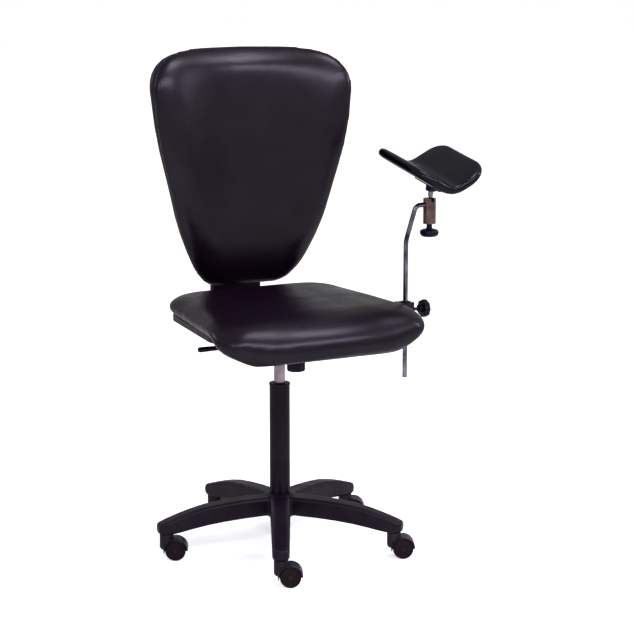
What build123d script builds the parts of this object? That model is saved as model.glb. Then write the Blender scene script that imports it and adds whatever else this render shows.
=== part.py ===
"""Blood donor chair: swivel chair on a five-leg star base, with a padded arm support on a clamped rod.

The origin is on the floor under the column's axis. +Z is up, the chair's front is -Y, and the arm
support stands at the sitter's left, on +X. All lengths are millimetres and all angles degrees.
"""
import os
from math import asin, cos, radians, sin, sqrt

from build123d import *

os.makedirs("parts", exist_ok=True)

# Clearances
run_gap = 0.05          # radial, a shaft in its bore
fit_gap = 0.02          # radial, a piece held tight in a bore
face_gap = 0.3          # faces of different bodies that pass each other
skin_gap = 0.4          # upholstery and covers against their neighbours
overrun = 5.0           # how far a cutting tool passes a face

# Face under the seat, above the floor; what hangs under it or stands on it is measured from it
plate_top = 566.0

# Casters
wheel_r = 25.0
wheel_width = 16.0
wheel_edge_round = 3.0
wheel_recess = 2.0
wheel_recess_r = 18.0
web_half = 4.5          # half thickness of the hood's middle web
wheel_side_gap = 0.5    # a wheel to the web
guard_gap = 1.3         # a wheel's tread to the hood
guard_wall = 3.2
guard_half = 22.0
guard_low = 2.0         # the guard ends this far above the axle
caster_trail = 22.0
caster_turn = -26.0     # plan angle in which all five wheels trail
hood_boss_r = 17.0
hood_boss_up = 5.0      # the boss starts this far above the axle
hood_head = 10.5        # the guard's top to the leg
hood_web_low = 5.0      # the web ends this far below the axle
axle_r = 3.0
axle_head_r = 5.0
axle_head_depth = 1.5
stem_r = 5.5
stem_out = 19.0         # how far a stem hangs out of its leg
stem_depth = 27.0       # how far a stem stands in its leg
stem_tip_chamfer = 1.5

# Star base
leg_count = 5
star_turn = -115.7      # plan angle of the leg that points most to the front
caster_ring_r = 290.0   # column axis to a caster's stem
hub_r = 37.0
hub_bottom = 80.0
hub_height = 59.0
leg_root_bottom = 87.0
leg_root_height = 47.0
leg_tip_height = 32.0
leg_root_width = 52.0
leg_tip_width = 40.0
leg_crown = 6.0         # how much a leg's top is rounded across
leg_wall = 5.0
channel_in = 25.0       # the hub's wall to the channel's inner end
channel_short = 34.0    # the channel's outer end to the caster's stem
leg_tip_bottom = 2 * wheel_r + guard_gap + guard_wall + hood_head
# along the leg, top's drop, bottom's drop and the narrowing, each as a share of its whole change
leg_shares = [(0.07, 0.0, 0.0, 0.0), (0.34, 0.07, 0.04, 0.3), (0.65, 0.26, 0.42, 0.6),
              (0.86, 0.62, 0.8, 0.85), (1.0, 0.95, 1.0, 1.0)]

# Column
tube_r = 25.0
tube_wall = 2.2
tube_bottom = 72.0
tube_below = 154.0      # the tube's top under the seat's face
tube_floor = 5.0
bush_length = 112.0
collar_over = 1.0       # the bush's collar past the tube's side
collar_height = 5.0
collar_round = 1.5
rod_end_r = 4.0
rod_end_length = 18.0
piston_rod_r = 5.0
piston_up = 107.0       # the piston above the gas cylinder's lower end
piston_height = 12.0
bearing_r = 13.0
bearing_race = 1.5
bearing_ball_r = 1.9
bearing_ball_ring = 9.0
bearing_balls = 8
clip_r = 9.0
clip_height = 1.7
cylinder_r = 14.0
cylinder_wall = 3.0
cylinder_below = 38.0   # the gas cylinder's top under the seat's face
cylinder_length = 250.0
cylinder_guide = 12.0
cylinder_valve = 34.0   # solid length above the bore
release_pin_r = 4.0
release_pin_up = 6.0
release_pin_in = 6.0
release_hole_depth = 10.0

# Mechanism under the seat; the drops are measured down from the seat's face
plate_thick = 4.0
plate_half_x = 70.0
plate_front = -105.0
plate_rear = 95.0
plate_corner = 14.0
pivot_y = -38.0
pivot_drop = 21.0
pivot_r = 5.0
pivot_end = 3.0         # the pin's end past the ears
pivot_head_r = 8.0
housing_half_x = 46.0
housing_front = -112.0
housing_rear = 48.0
housing_drop = 61.0
step_drop = 30.0        # raised floor at the front, over the spring
housing_step_y = -74.0
housing_slope = 10.0    # how far the step's wall leans
housing_top_drop = 8.0
housing_rear_drop = 25.0
housing_wall = 3.0
housing_boss_r = 20.0
boss_below = 19.0       # the boss past the housing's floor
boss_short = 4.0        # the boss under the gas cylinder's top
ear_gap = 1.0
ear_thick = 4.0
ear_half_y = 16.0
ear_below = 12.0

# Spring tension
bolt_y = -90.0
bolt_eye_drop = 16.0
bolt_eye_r = 9.0
bolt_eye_half = 6.0
bolt_pin_r = 4.0
bolt_lug_gap = 1.0
bolt_lug_thick = 4.0
bolt_lug_below = 10.0
bolt_r = 5.0
bolt_in_knob = 10.5     # the bolt's end above the knob's face
bolt_hole_r = 8.0
spring_r = 12.5
spring_wire = 3.2
spring_length = 44.5
washer_r = 17.0
washer_thick = 3.0
knob_tension_r = 22.5
knob_tension_height = 25.0
knob_floor = 3.0
knob_round = 4.0
knob_lobes = 8
knob_lobe_r = 5.0
knob_lobe_out = 2.6     # a groove's centre past the rim

# Height lever
lever_play = 0.1        # the lever over the release pin
lever_r = 4.0
lever_inner = 10.0
lever_out = 16.0        # the lever's straight part past the housing
lever_slope = 50.0
lever_drop = 20.0
lever_last = 92.0       # the lever's end past its knee
lever_bend_r = 22.0
lever_bush_r = 6.0
lever_bush_flange_r = 8.5
lever_bush_flange = 2.5
lever_hole_gap = 0.6
lever_flange_gap = 0.8
grip_over = 11.0        # the grip's end past the lever's
grip_length = 77.0
grip_r = 5.6
grip_tip_r = 6.6
grip_tip_length = 14.0

# Seat
seat_front = -298.0
seat_rear = 195.0
seat_half_front = 282.0
seat_narrowing = 48.0   # the rear's half width is this much less
seat_corner_front = 90.0
seat_corner_rear = 78.0
shell_inset = 17.0
shell_wall = 3.0
shell_height = 15.0
shell_round = 2.0
panel_front_in = 84.0   # the panel's front edge behind the cushion's
cushion_side_up = 20.0  # the cushion's widest line above its underside
cushion_crown_up = 26.0 # the crown above the widest line
cushion_edge_drop = 8.0
cushion_tuck_low = 16.0
cushion_tuck_top = 34.0
side_bulge = 0.17       # how far a side's arcs stand off their chords, as a share of the chord
roll_drop = 66.0        # the front roll's lowest line under the cushion's underside
roll_depth = 81.0       # the roll's inner wall behind the front edge
roll_tuck = 73.0        # the roll's lowest line ends this far inside its widest line
roll_bulge = 0.25       # the roll's lower arcs off their chords, as a share of the chord
front_dip = 14.0        # the front edge's crown below the middle's
# from the rear edge or the front edge inwards, as shares of that corner's radius, with how full
# the cushion's height is there
end_shares = [(0.0, 0.34), (0.045, 0.6), (0.14, 0.8), (0.34, 0.94), (0.62, 1.0)]
front_shares = [(0.0, 0.34), (0.06, 0.6), (0.18, 0.8), (0.44, 0.94)]
mid_shares = [0.28, 0.62]

# Back
back_gap = 8.0          # the back's foot above the seat's crown
back_height = 588.0
back_half = 264.0
back_behind = 8.0       # the back's middle surface behind the seat's rear edge
back_wrap_r = 430.0     # plan radius that the back curves round the sitter on
cushion_front_d = -38.0 # offsets from the middle surface, front is negative
cushion_rear_d = 8.0
panel_thick = 10.0
shell_rear_d = 36.0
back_edge_inset = 20.0  # the cushion's flat faces end this far inside its widest line
cushion_spread = 4.0    # the cushion's edge past the back's nominal outline
panel_inset = 36.0
shell_edge_in = 20.0
shell_edge_inset = 12.0
back_shell_wall = 3.0
guide_sink = 6.0        # how far the guide's saddle reaches round the shell
lumbar = 16.0           # range of the back's bow, forward at the waist and rearward at the top
# height, half width, thickness and bow, as shares of the back's
back_shares = [(0.0, 0.34, 0.34, 0.05), (0.018, 0.43, 0.66, 0.0), (0.062, 0.53, 0.9, -0.1),
               (0.19, 0.69, 1.0, -0.34), (0.37, 0.814, 1.0, -0.36), (0.58, 0.935, 1.0, 0.0),
               (0.77, 0.994, 1.0, 0.42), (0.85, 1.0, 1.0, 0.6), (0.925, 0.925, 0.96, 0.8),
               (0.968, 0.8, 0.8, 0.9), (0.988, 0.675, 0.56, 0.96), (1.0, 0.52, 0.26, 1.0)]

# Back bar, its cover and the height clamp
bar_half_x = 25.0
bar_thick = 8.0
bar_behind = 53.0       # the bar's rear face behind the back's middle surface
bar_start = 60.0
bar_above = 26.0        # the bar's top above the guide
bar_bend_inside = 26.0
cover_half_x = 68.0
cover_before = 13.0     # the cover's faces from the bar's rear face
cover_after = 9.0
cover_below = 20.0      # the cover's foot under the seat's face
cover_above = 55.0      # the cover's top above the back's foot
cover_round = 8.0
guide_half_x = 40.0
guide_up = 137.0        # the guide above the back's foot
guide_height = 74.0
guide_after = 16.0      # the guide's rear face behind the bar's
guide_round = 6.0
shoe_r = 7.0
shoe_thick = 3.0
stud_r = 5.0
knob_back_r = 23.0
knob_back_thick = 18.0
knob_neck_r = 9.0
knob_back_neck = 8.0

# Arm support
rod_out = 13.0          # the rod's axis past the seat's widest place
rod_y = -98.0
arm_rod_r = 6.0
rod_below = 168.0       # the rod's lower end under the clamp's middle
rod_straight = 170.0    # the clamp's middle to the first bend
rod_rise = 86.0         # the first bend to the socket's middle
rod_lean_out = 27.0     # sideways step between the two bends
rod_bend_low_r = 70.0
rod_bend_high_r = 17.0
bracket_thick = 5.0
bracket_half_y = 20.0
bracket_start = 122.0
bracket_bend_inside = 4.0
block_up = 21.0         # the clamp's middle above the seat's face
block_half_z = 20.0
block_half_y = 18.0
block_in = 14.0         # the clamp block's faces from the rod's axis
block_out = 17.0
block_round = 4.0
arm_bush_r = 9.0
bush_flange_r = 11.5
bush_flange = 2.0
arm_shoe_r = 5.5
arm_shoe_thick = 2.2
arm_stud_r = 4.0
knob_arm_gap = 20.0     # the block to the knob's neck
knob_arm_neck = 8.0
knob_arm_neck_r = 10.0
knob_arm_r = 22.0
knob_arm_thick = 16.0

# Ball socket
socket_out = 65.5       # the socket's axis from the rod's
socket_below = 47.0     # the socket's ends from the rod's upper part
socket_above = 16.0
socket_r = 16.0
socket_round = 1.0
socket_floor = 10.0
cup_r = 13.0
cup_play = 0.2          # the cup's top to the socket's lip
ball_r = 9.0
cup_below = 14.0
cup_above = 10.6
lip_thick = 2.2
lip_r = 10.5
slot_half = 4.6
slot_depth = 9.0
socket_stud_r = 5.0
thrust_thick = 6.0
knob_socket_neck_r = 7.0
knob_socket_neck = 13.0
knob_socket_r = 23.5
knob_socket_height = 19.0
knob_socket_round = 6.0
stem_top_r = 4.0
stem_collar_r = 6.5
stem_collar_low = 18.0  # above the ball's centre
stem_collar_high = 33.0
stem_stud = 9.0

# Arm pad, in a frame at the ball's centre that leans forward
pad_lean = 11.0
pad_half_x = 98.0
pad_half_y = 118.0
pad_back = 12.0         # the pad's middle behind the ball
pad_under = 52.0        # the valley's underside above the ball's centre
pad_thick = 21.5
pad_valley_r = 50.0     # of the middle surface
pad_wing = 29.0         # slope of the wings
pad_boss_r = 14.0
pad_plate_thick = 4.0
pad_plate_half_x = 16.0
pad_plate_half_y = 62.0
pad_plate_round = 8.0
pad_screw_r = 2.0
pad_screw_head_r = 4.2
pad_screw_head = 2.2
pad_screw_in = 9.0
pad_screw_y = 48.0
pad_screw_x = 8.0
# along the pad from front to rear: place, half width and thickness as shares
pad_shares = [(-1.0, 0.44, 0.3), (-0.975, 0.57, 0.6), (-0.91, 0.72, 0.86), (-0.76, 0.89, 1.0),
              (-0.45, 1.0, 1.0), (0.0, 1.0, 1.0), (0.5, 1.0, 1.0), (0.8, 0.965, 1.0),
              (0.93, 0.865, 0.86), (0.98, 0.77, 0.6), (1.0, 0.65, 0.3)]

# Bolts into the seat panel
screw_r = 4.0
screw_head_r = 6.5
screw_head = 4.0
screw_in = 9.0          # how far a bolt reaches into the panel
screw_hole_gap = 0.25
plate_screw_side = 14.0 # a bolt's axis from the tilt plate's edges
plate_screw_end = 17.0
bar_screw_first = 10.0  # bolts from the bar's front end
bar_screw_second = 27.0
bracket_screw_first = 23.0      # bolts from the bracket's inner end
bracket_screw_second = 73.0

# Places that follow from the sizes above
leg_tip_top = leg_tip_bottom + leg_tip_height
leg_root_top = leg_root_bottom + leg_root_height
hub_top = hub_bottom + hub_height
hood_boss_low = wheel_r + hood_boss_up
stem_low = leg_tip_bottom - stem_out
tube_top = plate_top - tube_below
cylinder_top = plate_top - cylinder_below
cylinder_low = cylinder_top - cylinder_length
piston_place = cylinder_low + piston_up
pivot_z = plate_top - pivot_drop
housing_low = plate_top - housing_drop
housing_step = plate_top - step_drop
bolt_eye_z = plate_top - bolt_eye_drop
knob_tension_low = housing_step - spring_length - washer_thick - knob_tension_height
lever_z = cylinder_top + release_pin_up + lever_r + lever_play
lever_knee = housing_half_x + lever_out + lever_slope
lever_end = lever_knee + lever_last
seat_half_rear = seat_half_front - seat_narrowing
cushion_low = plate_top + shell_height
cushion_side_z = cushion_low + cushion_side_up
cushion_crown_z = cushion_side_z + cushion_crown_up
back_low = cushion_crown_z + back_gap
back_mid_y = seat_rear + back_behind
bar_rear = back_mid_y + bar_behind
guide_low = back_low + guide_up
guide_high = guide_low + guide_height
guide_rear = bar_rear + guide_after
rod_x = seat_half_front + rod_out
block_z = plate_top + block_up
rod_bend_z = block_z + rod_straight
rod_top_z = rod_bend_z + rod_rise
socket_x = rod_x + socket_out
socket_low = rod_top_z - socket_below
socket_high = rod_top_z + socket_above
ball_z = socket_high - lip_thick - cup_play - cup_above


def save(name, solid):
    """Write one node; a list is a group of separate solids."""
    if isinstance(solid, (list, tuple)):
        solid = Compound(children=[Solid(piece.solids()[0].wrapped) for piece in solid])
    export_step(solid, os.path.join("parts", name + ".step"))


def rod(radius, low, high, x=0, y=0):
    """Upright cylinder between two heights."""
    return Pos(x, y, (low + high) / 2) * Cylinder(radius, high - low)


def rod_x_dir(radius, low, high, y=0, z=0):
    """Cylinder along X between two places."""
    return Pos((low + high) / 2, y, z) * Rot(0, 90, 0) * Cylinder(radius, high - low)


def rod_y_dir(radius, low, high, x=0, z=0):
    """Cylinder along Y between two places."""
    return Pos(x, (low + high) / 2, z) * Rot(90, 0, 0) * Cylinder(radius, high - low)


def block(x0, x1, y0, y1, z0, z1):
    """Box between two corners."""
    return Pos((x0 + x1) / 2, (y0 + y1) / 2, (z0 + z1) / 2) * Box(x1 - x0, y1 - y0, z1 - z0)


def side_profile(points, half, corners=None):
    """Solid from an outline in (Y, Z), of the given half width along X; corners maps point to radius."""
    sketch = make_face(Polyline(*points, close=True))
    for number, radius in (corners or {}).items():
        spot = Vector(*points[number])
        sketch = fillet([v for v in sketch.vertices() if (Vector(v) - spot).length < run_gap], radius)
    return extrude(Plane.YZ * sketch, half, both=True)


def front_profile(points, half, corners=None):
    """Solid from an outline in (X, Z), of the given half width along Y; corners maps point to radius."""
    sketch = make_face(Polyline(*points, close=True))
    for number, radius in (corners or {}).items():
        spot = Vector(*points[number])
        sketch = fillet([v for v in sketch.vertices() if (Vector(v) - spot).length < run_gap], radius)
    return extrude(Plane.XZ * sketch, half, both=True)


def lobed_knob(radius, height, round_off):
    """Hand knob with grooves round its rim, standing on the origin."""
    knob = Pos(0, 0, height / 2) * Cylinder(radius, height)
    knob = fillet(knob.edges().filter_by(GeomType.CIRCLE), round_off)
    for turn in range(knob_lobes):
        angle = 360 / knob_lobes * turn
        knob -= Rot(0, 0, angle) * rod(knob_lobe_r, -overrun, height + overrun, radius + knob_lobe_out)
    return knob


def leg_value(share, start, end):
    return start + (end - start) * share


def leg_places():
    """Radius from the axis, top, bottom and width at each station of a leg."""
    rows = []
    for along, top, bottom, narrow in leg_shares:
        rows.append((along * caster_ring_r, leg_value(top, leg_root_top, leg_tip_top),
                     leg_value(bottom, leg_root_bottom, leg_tip_bottom),
                     leg_value(narrow, leg_root_width, leg_tip_width)))
    return rows


def leg_height(radius):
    """Height of a leg's top at a radius, between its stations."""
    rows = leg_places()
    for near, far in zip(rows, rows[1:]):
        if radius <= far[0]:
            return leg_value((radius - near[0]) / (far[0] - near[0]), near[1], far[1])
    return rows[-1][1]


def make_leg():
    """One leg along +X, without its channel and socket."""
    sections = []
    for radius, top, bottom, width in leg_places():
        plane = Plane(origin=(radius, 0, 0), x_dir=(0, 1, 0), z_dir=(1, 0, 0))
        half = width / 2
        shoulder = top - leg_crown
        outline = (Polyline((half, shoulder), (half, bottom), (-half, bottom), (-half, shoulder))
                   + ThreePointArc((-half, shoulder), (0, top), (half, shoulder)))
        sections.append(plane * make_face(outline))
    leg = loft(sections)
    end = rod(leg_tip_width / 2, leg_tip_bottom, leg_tip_top - leg_crown, caster_ring_r)
    return leg + fillet(end.edges().group_by(Axis.Z)[-1], leg_crown)


def leg_channel():
    """Hollow under a leg, open below."""
    start = hub_r + channel_in
    end = caster_ring_r - channel_short
    radii = [start] + [row[0] for row in leg_places() if start < row[0] < end] + [end]
    low = leg_tip_bottom - overrun
    roof = [(radius, leg_height(radius) - leg_crown - leg_wall) for radius in radii]
    points = [(start, low)] + roof + [(end, low)]
    return front_profile(points, leg_tip_width / 2 - leg_wall)


def star_angles():
    return [star_turn + 360 / leg_count * turn for turn in range(leg_count)]


def make_star_base():
    base = rod(hub_r, hub_bottom, hub_top)
    base = fillet(base.edges().group_by(Axis.Z)[-1], leg_crown)
    leg = make_leg()
    for angle in star_angles():
        base += Rot(0, 0, angle) * leg
    cut = leg_channel() + rod(stem_r + fit_gap, leg_tip_bottom - overrun,
                              leg_tip_bottom + stem_depth + face_gap, caster_ring_r)
    for angle in star_angles():
        base -= Rot(0, 0, angle) * cut
    return base - rod(tube_r + fit_gap, hub_bottom - overrun, hub_top + overrun)


def caster_place(number):
    """A caster's own frame: stem axis at the origin, wheels trailing along +X."""
    angle = radians(star_angles()[number])
    return Pos(caster_ring_r * cos(angle), caster_ring_r * sin(angle), 0) * Rot(0, 0, caster_turn)


def make_stems():
    stem = rod(stem_r, stem_low, leg_tip_bottom + stem_depth)
    stem = chamfer(stem.edges().group_by(Axis.Z)[-1], stem_tip_chamfer)
    return [caster_place(number) * stem for number in range(leg_count)]


def make_hood():
    """Swivelling hood with its web and guard over both wheels."""
    axle_z = wheel_r
    inner = wheel_r + guard_gap
    top = leg_tip_bottom - face_gap
    guard = rod_y_dir(inner + guard_wall, -guard_half, guard_half, caster_trail, axle_z)
    boss = rod(hood_boss_r, hood_boss_low, top)
    boss = fillet(boss.edges().group_by(Axis.Z)[-1], guard_wall / 2)
    body = guard + boss
    body -= rod_y_dir(inner, -guard_half - overrun, guard_half + overrun, caster_trail, axle_z)
    web = rod_y_dir(inner + guard_wall / 2, -web_half, web_half, caster_trail, axle_z)
    body += web
    reach = caster_trail + inner + guard_wall + overrun
    keep_web = block(-reach, reach, -guard_half - overrun, guard_half + overrun,
                     -overrun, axle_z - hood_web_low)
    body -= keep_web
    for side in (-1, 1):
        near, far = sorted((side * web_half, side * (guard_half + overrun)))
        body -= block(caster_trail - inner - guard_wall, reach, near, far, -overrun, axle_z + guard_low)
    body -= rod(stem_r + run_gap, stem_low - face_gap, top + overrun)
    return body - rod_y_dir(axle_r + fit_gap, -web_half - overrun, web_half + overrun, caster_trail, axle_z)


def make_axle():
    reach = web_half + wheel_side_gap + wheel_width - wheel_recess + axle_head_depth
    axle = rod_y_dir(axle_r, -reach, reach, caster_trail, wheel_r)
    for side in (-1, 1):
        near, far = sorted((side * (reach - axle_head_depth), side * reach))
        axle += rod_y_dir(axle_head_r, near, far, caster_trail, wheel_r)
    return axle


def make_wheel(side):
    near = web_half + wheel_side_gap
    wheel = rod_y_dir(wheel_r, near, near + wheel_width, caster_trail, wheel_r)
    wheel = fillet(wheel.edges().filter_by(GeomType.CIRCLE), wheel_edge_round)
    recess_start = near + wheel_width - wheel_recess
    wheel -= rod_y_dir(wheel_recess_r, recess_start, recess_start + overrun, caster_trail, wheel_r)
    wheel -= rod_y_dir(axle_r + run_gap, near - overrun, near + wheel_width + overrun, caster_trail, wheel_r)
    return wheel if side > 0 else mirror(wheel, Plane.XZ)


def make_column():
    tube = rod(tube_r, tube_bottom, tube_top) - rod(tube_r - tube_wall, tube_bottom + tube_floor,
                                                     tube_top + overrun)
    tube -= rod(rod_end_r + run_gap, tube_bottom - overrun, tube_bottom + tube_floor + overrun)
    save("column_tube", tube)
    bush = rod(tube_r - tube_wall - fit_gap, tube_top - bush_length, tube_top)
    collar = rod(tube_r + collar_over, tube_top, tube_top + collar_height)
    bush += fillet(collar.edges().group_by(Axis.Z)[-1], collar_round)
    save("column_bush", bush - rod(cylinder_r + run_gap, tube_top - bush_length - overrun,
                                   tube_top + collar_height + overrun))
    seat = tube_bottom + tube_floor
    ball_z_mid = seat + bearing_race + bearing_ball_r + fit_gap
    upper = ball_z_mid + bearing_ball_r + fit_gap
    hole = rod(rod_end_r + run_gap, seat - overrun, upper + bearing_race + overrun)
    pieces = [rod(bearing_r, seat, seat + bearing_race) - hole,
              rod(bearing_r, upper, upper + bearing_race) - hole]
    for turn in range(bearing_balls):
        pieces.append(Rot(0, 0, 360 / bearing_balls * turn) * Pos(bearing_ball_ring, 0, ball_z_mid)
                      * Sphere(bearing_ball_r))
    save("thrust_bearing", pieces)
    shoulder = upper + bearing_race
    piston = rod(rod_end_r, shoulder - rod_end_length, shoulder) + rod(piston_rod_r, shoulder, piston_place)
    bore_r = cylinder_r - cylinder_wall
    piston += rod(bore_r - run_gap, piston_place, piston_place + piston_height)
    save("piston_rod", piston)
    clip_top = tube_bottom - face_gap
    save("column_clip", rod(clip_r, clip_top - clip_height, clip_top)
         - rod(rod_end_r + fit_gap, clip_top - clip_height - overrun, clip_top + overrun))


def make_gas_cylinder():
    low = cylinder_low
    cylinder = rod(cylinder_r, low, cylinder_top)
    cylinder -= rod(cylinder_r - cylinder_wall, low + cylinder_guide, cylinder_top - cylinder_valve)
    cylinder -= rod(piston_rod_r + run_gap, low - overrun, low + cylinder_guide + overrun)
    cylinder -= rod(release_pin_r + run_gap, cylinder_top - release_hole_depth, cylinder_top + overrun)
    save("gas_cylinder", cylinder)
    save("release_pin", rod(release_pin_r, cylinder_top - release_pin_in, cylinder_top + release_pin_up))


def make_housing():
    """Open steel tray that grips the gas cylinder and carries the tilt pin."""
    housing_top = plate_top - housing_top_drop
    housing_rear_top = plate_top - housing_rear_drop
    housing_boss_low = housing_low - boss_below
    housing_boss_top = cylinder_top - boss_short
    outer = [(housing_front, housing_step), (housing_step_y, housing_step),
             (housing_step_y + housing_slope, housing_low), (housing_rear, housing_low),
             (housing_rear, housing_rear_top), (pivot_y, housing_top), (housing_front, housing_top)]
    wall = housing_wall
    inner = [(housing_front + wall, housing_step + wall), (housing_step_y + wall, housing_step + wall),
             (housing_step_y + housing_slope + wall, housing_low + wall),
             (housing_rear - wall, housing_low + wall),
             (housing_rear - wall, housing_top + overrun), (housing_front + wall, housing_top + overrun)]
    tray = side_profile(outer, housing_half_x) - side_profile(inner, housing_half_x - wall)
    tray += rod(housing_boss_r, housing_boss_low, housing_boss_top)
    tray -= rod(cylinder_r + fit_gap, housing_boss_low - overrun, housing_boss_top + overrun)
    reach = housing_half_x + overrun
    tray -= rod_x_dir(pivot_r + fit_gap, -reach, reach, pivot_y, pivot_z)
    tray -= rod(bolt_hole_r, housing_step - overrun, housing_step + wall + overrun, 0, bolt_y)
    tray -= rod_x_dir(lever_bush_r + lever_hole_gap, -reach, -housing_half_x + wall + overrun, 0, lever_z)
    save("mech_housing", tray)
    end = housing_half_x + ear_gap + ear_thick + pivot_end
    pin = rod_x_dir(pivot_r, -end, end, pivot_y, pivot_z)
    for side in (-1, 1):
        near, far = sorted((side * (end - pivot_end + face_gap), side * end))
        pin += rod_x_dir(pivot_head_r, near, far, pivot_y, pivot_z)
    save("tilt_pin", pin)


def plate_screw_places():
    """Bolts that hold the tilt plate: (x, y)."""
    x = plate_half_x - plate_screw_side
    rows = (plate_front + plate_screw_end, plate_rear - plate_screw_end)
    return [(side, y) for side in (-x, x) for y in rows]


def bar_screw_places():
    return [(0, bar_start + bar_screw_first), (0, bar_start + bar_screw_second)]


def bracket_screw_places():
    return [(bracket_start + bracket_screw_first, rod_y), (bracket_start + bracket_screw_second, rod_y)]


def screw_holes(low, high, places):
    holes = [rod(screw_r + screw_hole_gap, low - overrun, high + overrun, x, y) for x, y in places]
    return holes


def make_tilt_plate():
    low = plate_top - plate_thick
    plate = block(-plate_half_x, plate_half_x, plate_front, plate_rear, low, plate_top)
    plate = fillet(plate.edges().filter_by(Axis.Z), plate_corner)
    inside = housing_half_x + ear_gap
    for side in (-1, 1):
        near, far = sorted((side * inside, side * (inside + ear_thick)))
        ear = block(near, far, pivot_y - ear_half_y, pivot_y + ear_half_y, pivot_z - ear_below, low)
        ear = fillet(ear.edges().filter_by(Axis.X).group_by(Axis.Z)[0], ear_below / 2)
        plate += ear
        lug_near = bolt_eye_half + bolt_lug_gap
        near, far = sorted((side * lug_near, side * (lug_near + bolt_lug_thick)))
        lug = block(near, far, bolt_y - bolt_lug_below, bolt_y + bolt_lug_below,
                    bolt_eye_z - bolt_lug_below, low)
        plate += fillet(lug.edges().filter_by(Axis.X).group_by(Axis.Z)[0], bolt_lug_below / 2)
    lug_end = bolt_eye_half + bolt_lug_gap + bolt_lug_thick
    plate += rod_x_dir(bolt_pin_r, -lug_end, lug_end, bolt_y, bolt_eye_z)
    reach = inside + ear_thick + overrun
    plate -= rod_x_dir(pivot_r + run_gap, -reach, -inside + overrun, pivot_y, pivot_z)
    plate -= rod_x_dir(pivot_r + run_gap, inside - overrun, reach, pivot_y, pivot_z)
    for hole in screw_holes(low, plate_top, plate_screw_places() + bar_screw_places()):
        plate -= hole
    save("tilt_plate", plate)


def make_tension():
    """Eye bolt, spring, washer and hand knob that set how firmly the seat tilts."""
    bolt = rod_x_dir(bolt_eye_r, -bolt_eye_half, bolt_eye_half, bolt_y, bolt_eye_z)
    bolt += rod(bolt_r, knob_tension_low + bolt_in_knob, bolt_eye_z, 0, bolt_y)
    reach = bolt_eye_half + overrun
    bolt -= rod_x_dir(bolt_pin_r + run_gap, -reach, reach, bolt_y, bolt_eye_z)
    save("tension_bolt", bolt)
    washer_low = knob_tension_low + knob_tension_height
    washer_top = washer_low + washer_thick
    spring = rod(spring_r, washer_top, housing_step, 0, bolt_y)
    spring -= rod(spring_r - spring_wire, washer_top - overrun, housing_step + overrun, 0, bolt_y)
    save("tension_spring", spring)
    washer = rod(washer_r, washer_low, washer_top, 0, bolt_y)
    save("tension_washer", washer - rod(bolt_r + run_gap, washer_low - overrun, washer_top + overrun,
                                        0, bolt_y))
    knob = Pos(0, bolt_y, knob_tension_low) * lobed_knob(knob_tension_r, knob_tension_height, knob_round)
    knob -= rod(bolt_r + run_gap, knob_tension_low + knob_floor, washer_low + overrun, 0, bolt_y)
    save("tension_knob", knob)


def make_lever():
    """Height lever: its rod, the bush in the housing's wall and the grip."""
    low_z = lever_z - lever_drop
    path = FilletPolyline((lever_inner, 0, lever_z), (-housing_half_x - lever_out, 0, lever_z),
                          (-lever_knee, 0, low_z), (-lever_end, 0, low_z), radius=lever_bend_r)
    start = Plane(origin=(lever_inner, 0, lever_z), z_dir=(-1, 0, 0))
    bar = sweep(start * Circle(lever_r), path=path)
    save("lever_rod", bar)
    outer = housing_half_x + lever_flange_gap
    inner = housing_half_x - housing_wall - lever_flange_gap
    bush = rod_x_dir(lever_bush_r, -outer, -inner, 0, lever_z)
    bush += rod_x_dir(lever_bush_flange_r, -outer - lever_bush_flange, -outer, 0, lever_z)
    bush += rod_x_dir(lever_bush_flange_r, -inner, -inner + lever_bush_flange, 0, lever_z)
    bush -= rod_x_dir(lever_r + fit_gap, -outer - lever_bush_flange - overrun,
                      -inner + lever_bush_flange + overrun, 0, lever_z)
    save("lever_bush", bush)
    grip_end = lever_end + grip_over
    grip_start = grip_end - grip_length
    grip = rod_x_dir(grip_r, -grip_end, -grip_start, 0, low_z)
    grip = fillet(grip.edges().filter_by(GeomType.CIRCLE).group_by(Axis.X)[-1], grip_r / 2)
    tip = rod_x_dir(grip_tip_r, -grip_end, -grip_end + grip_tip_length, 0, low_z)
    grip += fillet(tip.edges().filter_by(GeomType.CIRCLE), grip_tip_r / 2)
    grip -= rod_x_dir(lever_r + fit_gap, -lever_end, -grip_start + overrun, 0, low_z)
    save("lever_grip", grip)


def seat_half(y):
    """Half width between the seat's corner points at a place along the seat."""
    share = (y - seat_front) / (seat_rear - seat_front)
    return seat_half_front + (seat_half_rear - seat_half_front) * share


def seat_outline(inset, front_inset):
    """Rounded trapezoid of the seat in plan, drawn in by the inset."""
    front = seat_front + front_inset
    rear = seat_rear - inset
    points = [(-seat_half(front) + inset, front), (seat_half(front) - inset, front),
              (seat_half(rear) - inset, rear), (-seat_half(rear) + inset, rear)]
    face = make_face(Polyline(*points, close=True))
    corners = face.vertices().sort_by(Axis.Y)
    face = fillet(corners[:2], seat_corner_front - inset)
    corners = face.vertices().sort_by(Axis.Y)
    return fillet(corners[-2:], seat_corner_rear - inset)


def cushion_half(y):
    """Half width of the seat cushion with its rounded corners."""
    front_in = seat_front + seat_corner_front - y
    rear_in = y - (seat_rear - seat_corner_rear)
    if front_in > 0:
        wide = seat_half(seat_front + seat_corner_front) - seat_corner_front
        return wide + sqrt(seat_corner_front ** 2 - front_in ** 2)
    if rear_in > 0:
        wide = seat_half(seat_rear - seat_corner_rear) - seat_corner_rear
        return wide + sqrt(seat_corner_rear ** 2 - rear_in ** 2)
    return seat_half(y)


def bulged(start, end, share=side_bulge):
    """Arc between two points that stands off to the right of its chord by a share of its length."""
    (x0, z0), (x1, z1) = start, end
    return ThreePointArc(start, ((x0 + x1) / 2 + (z1 - z0) * share, (z0 + z1) / 2 - (x1 - x0) * share), end)


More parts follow.
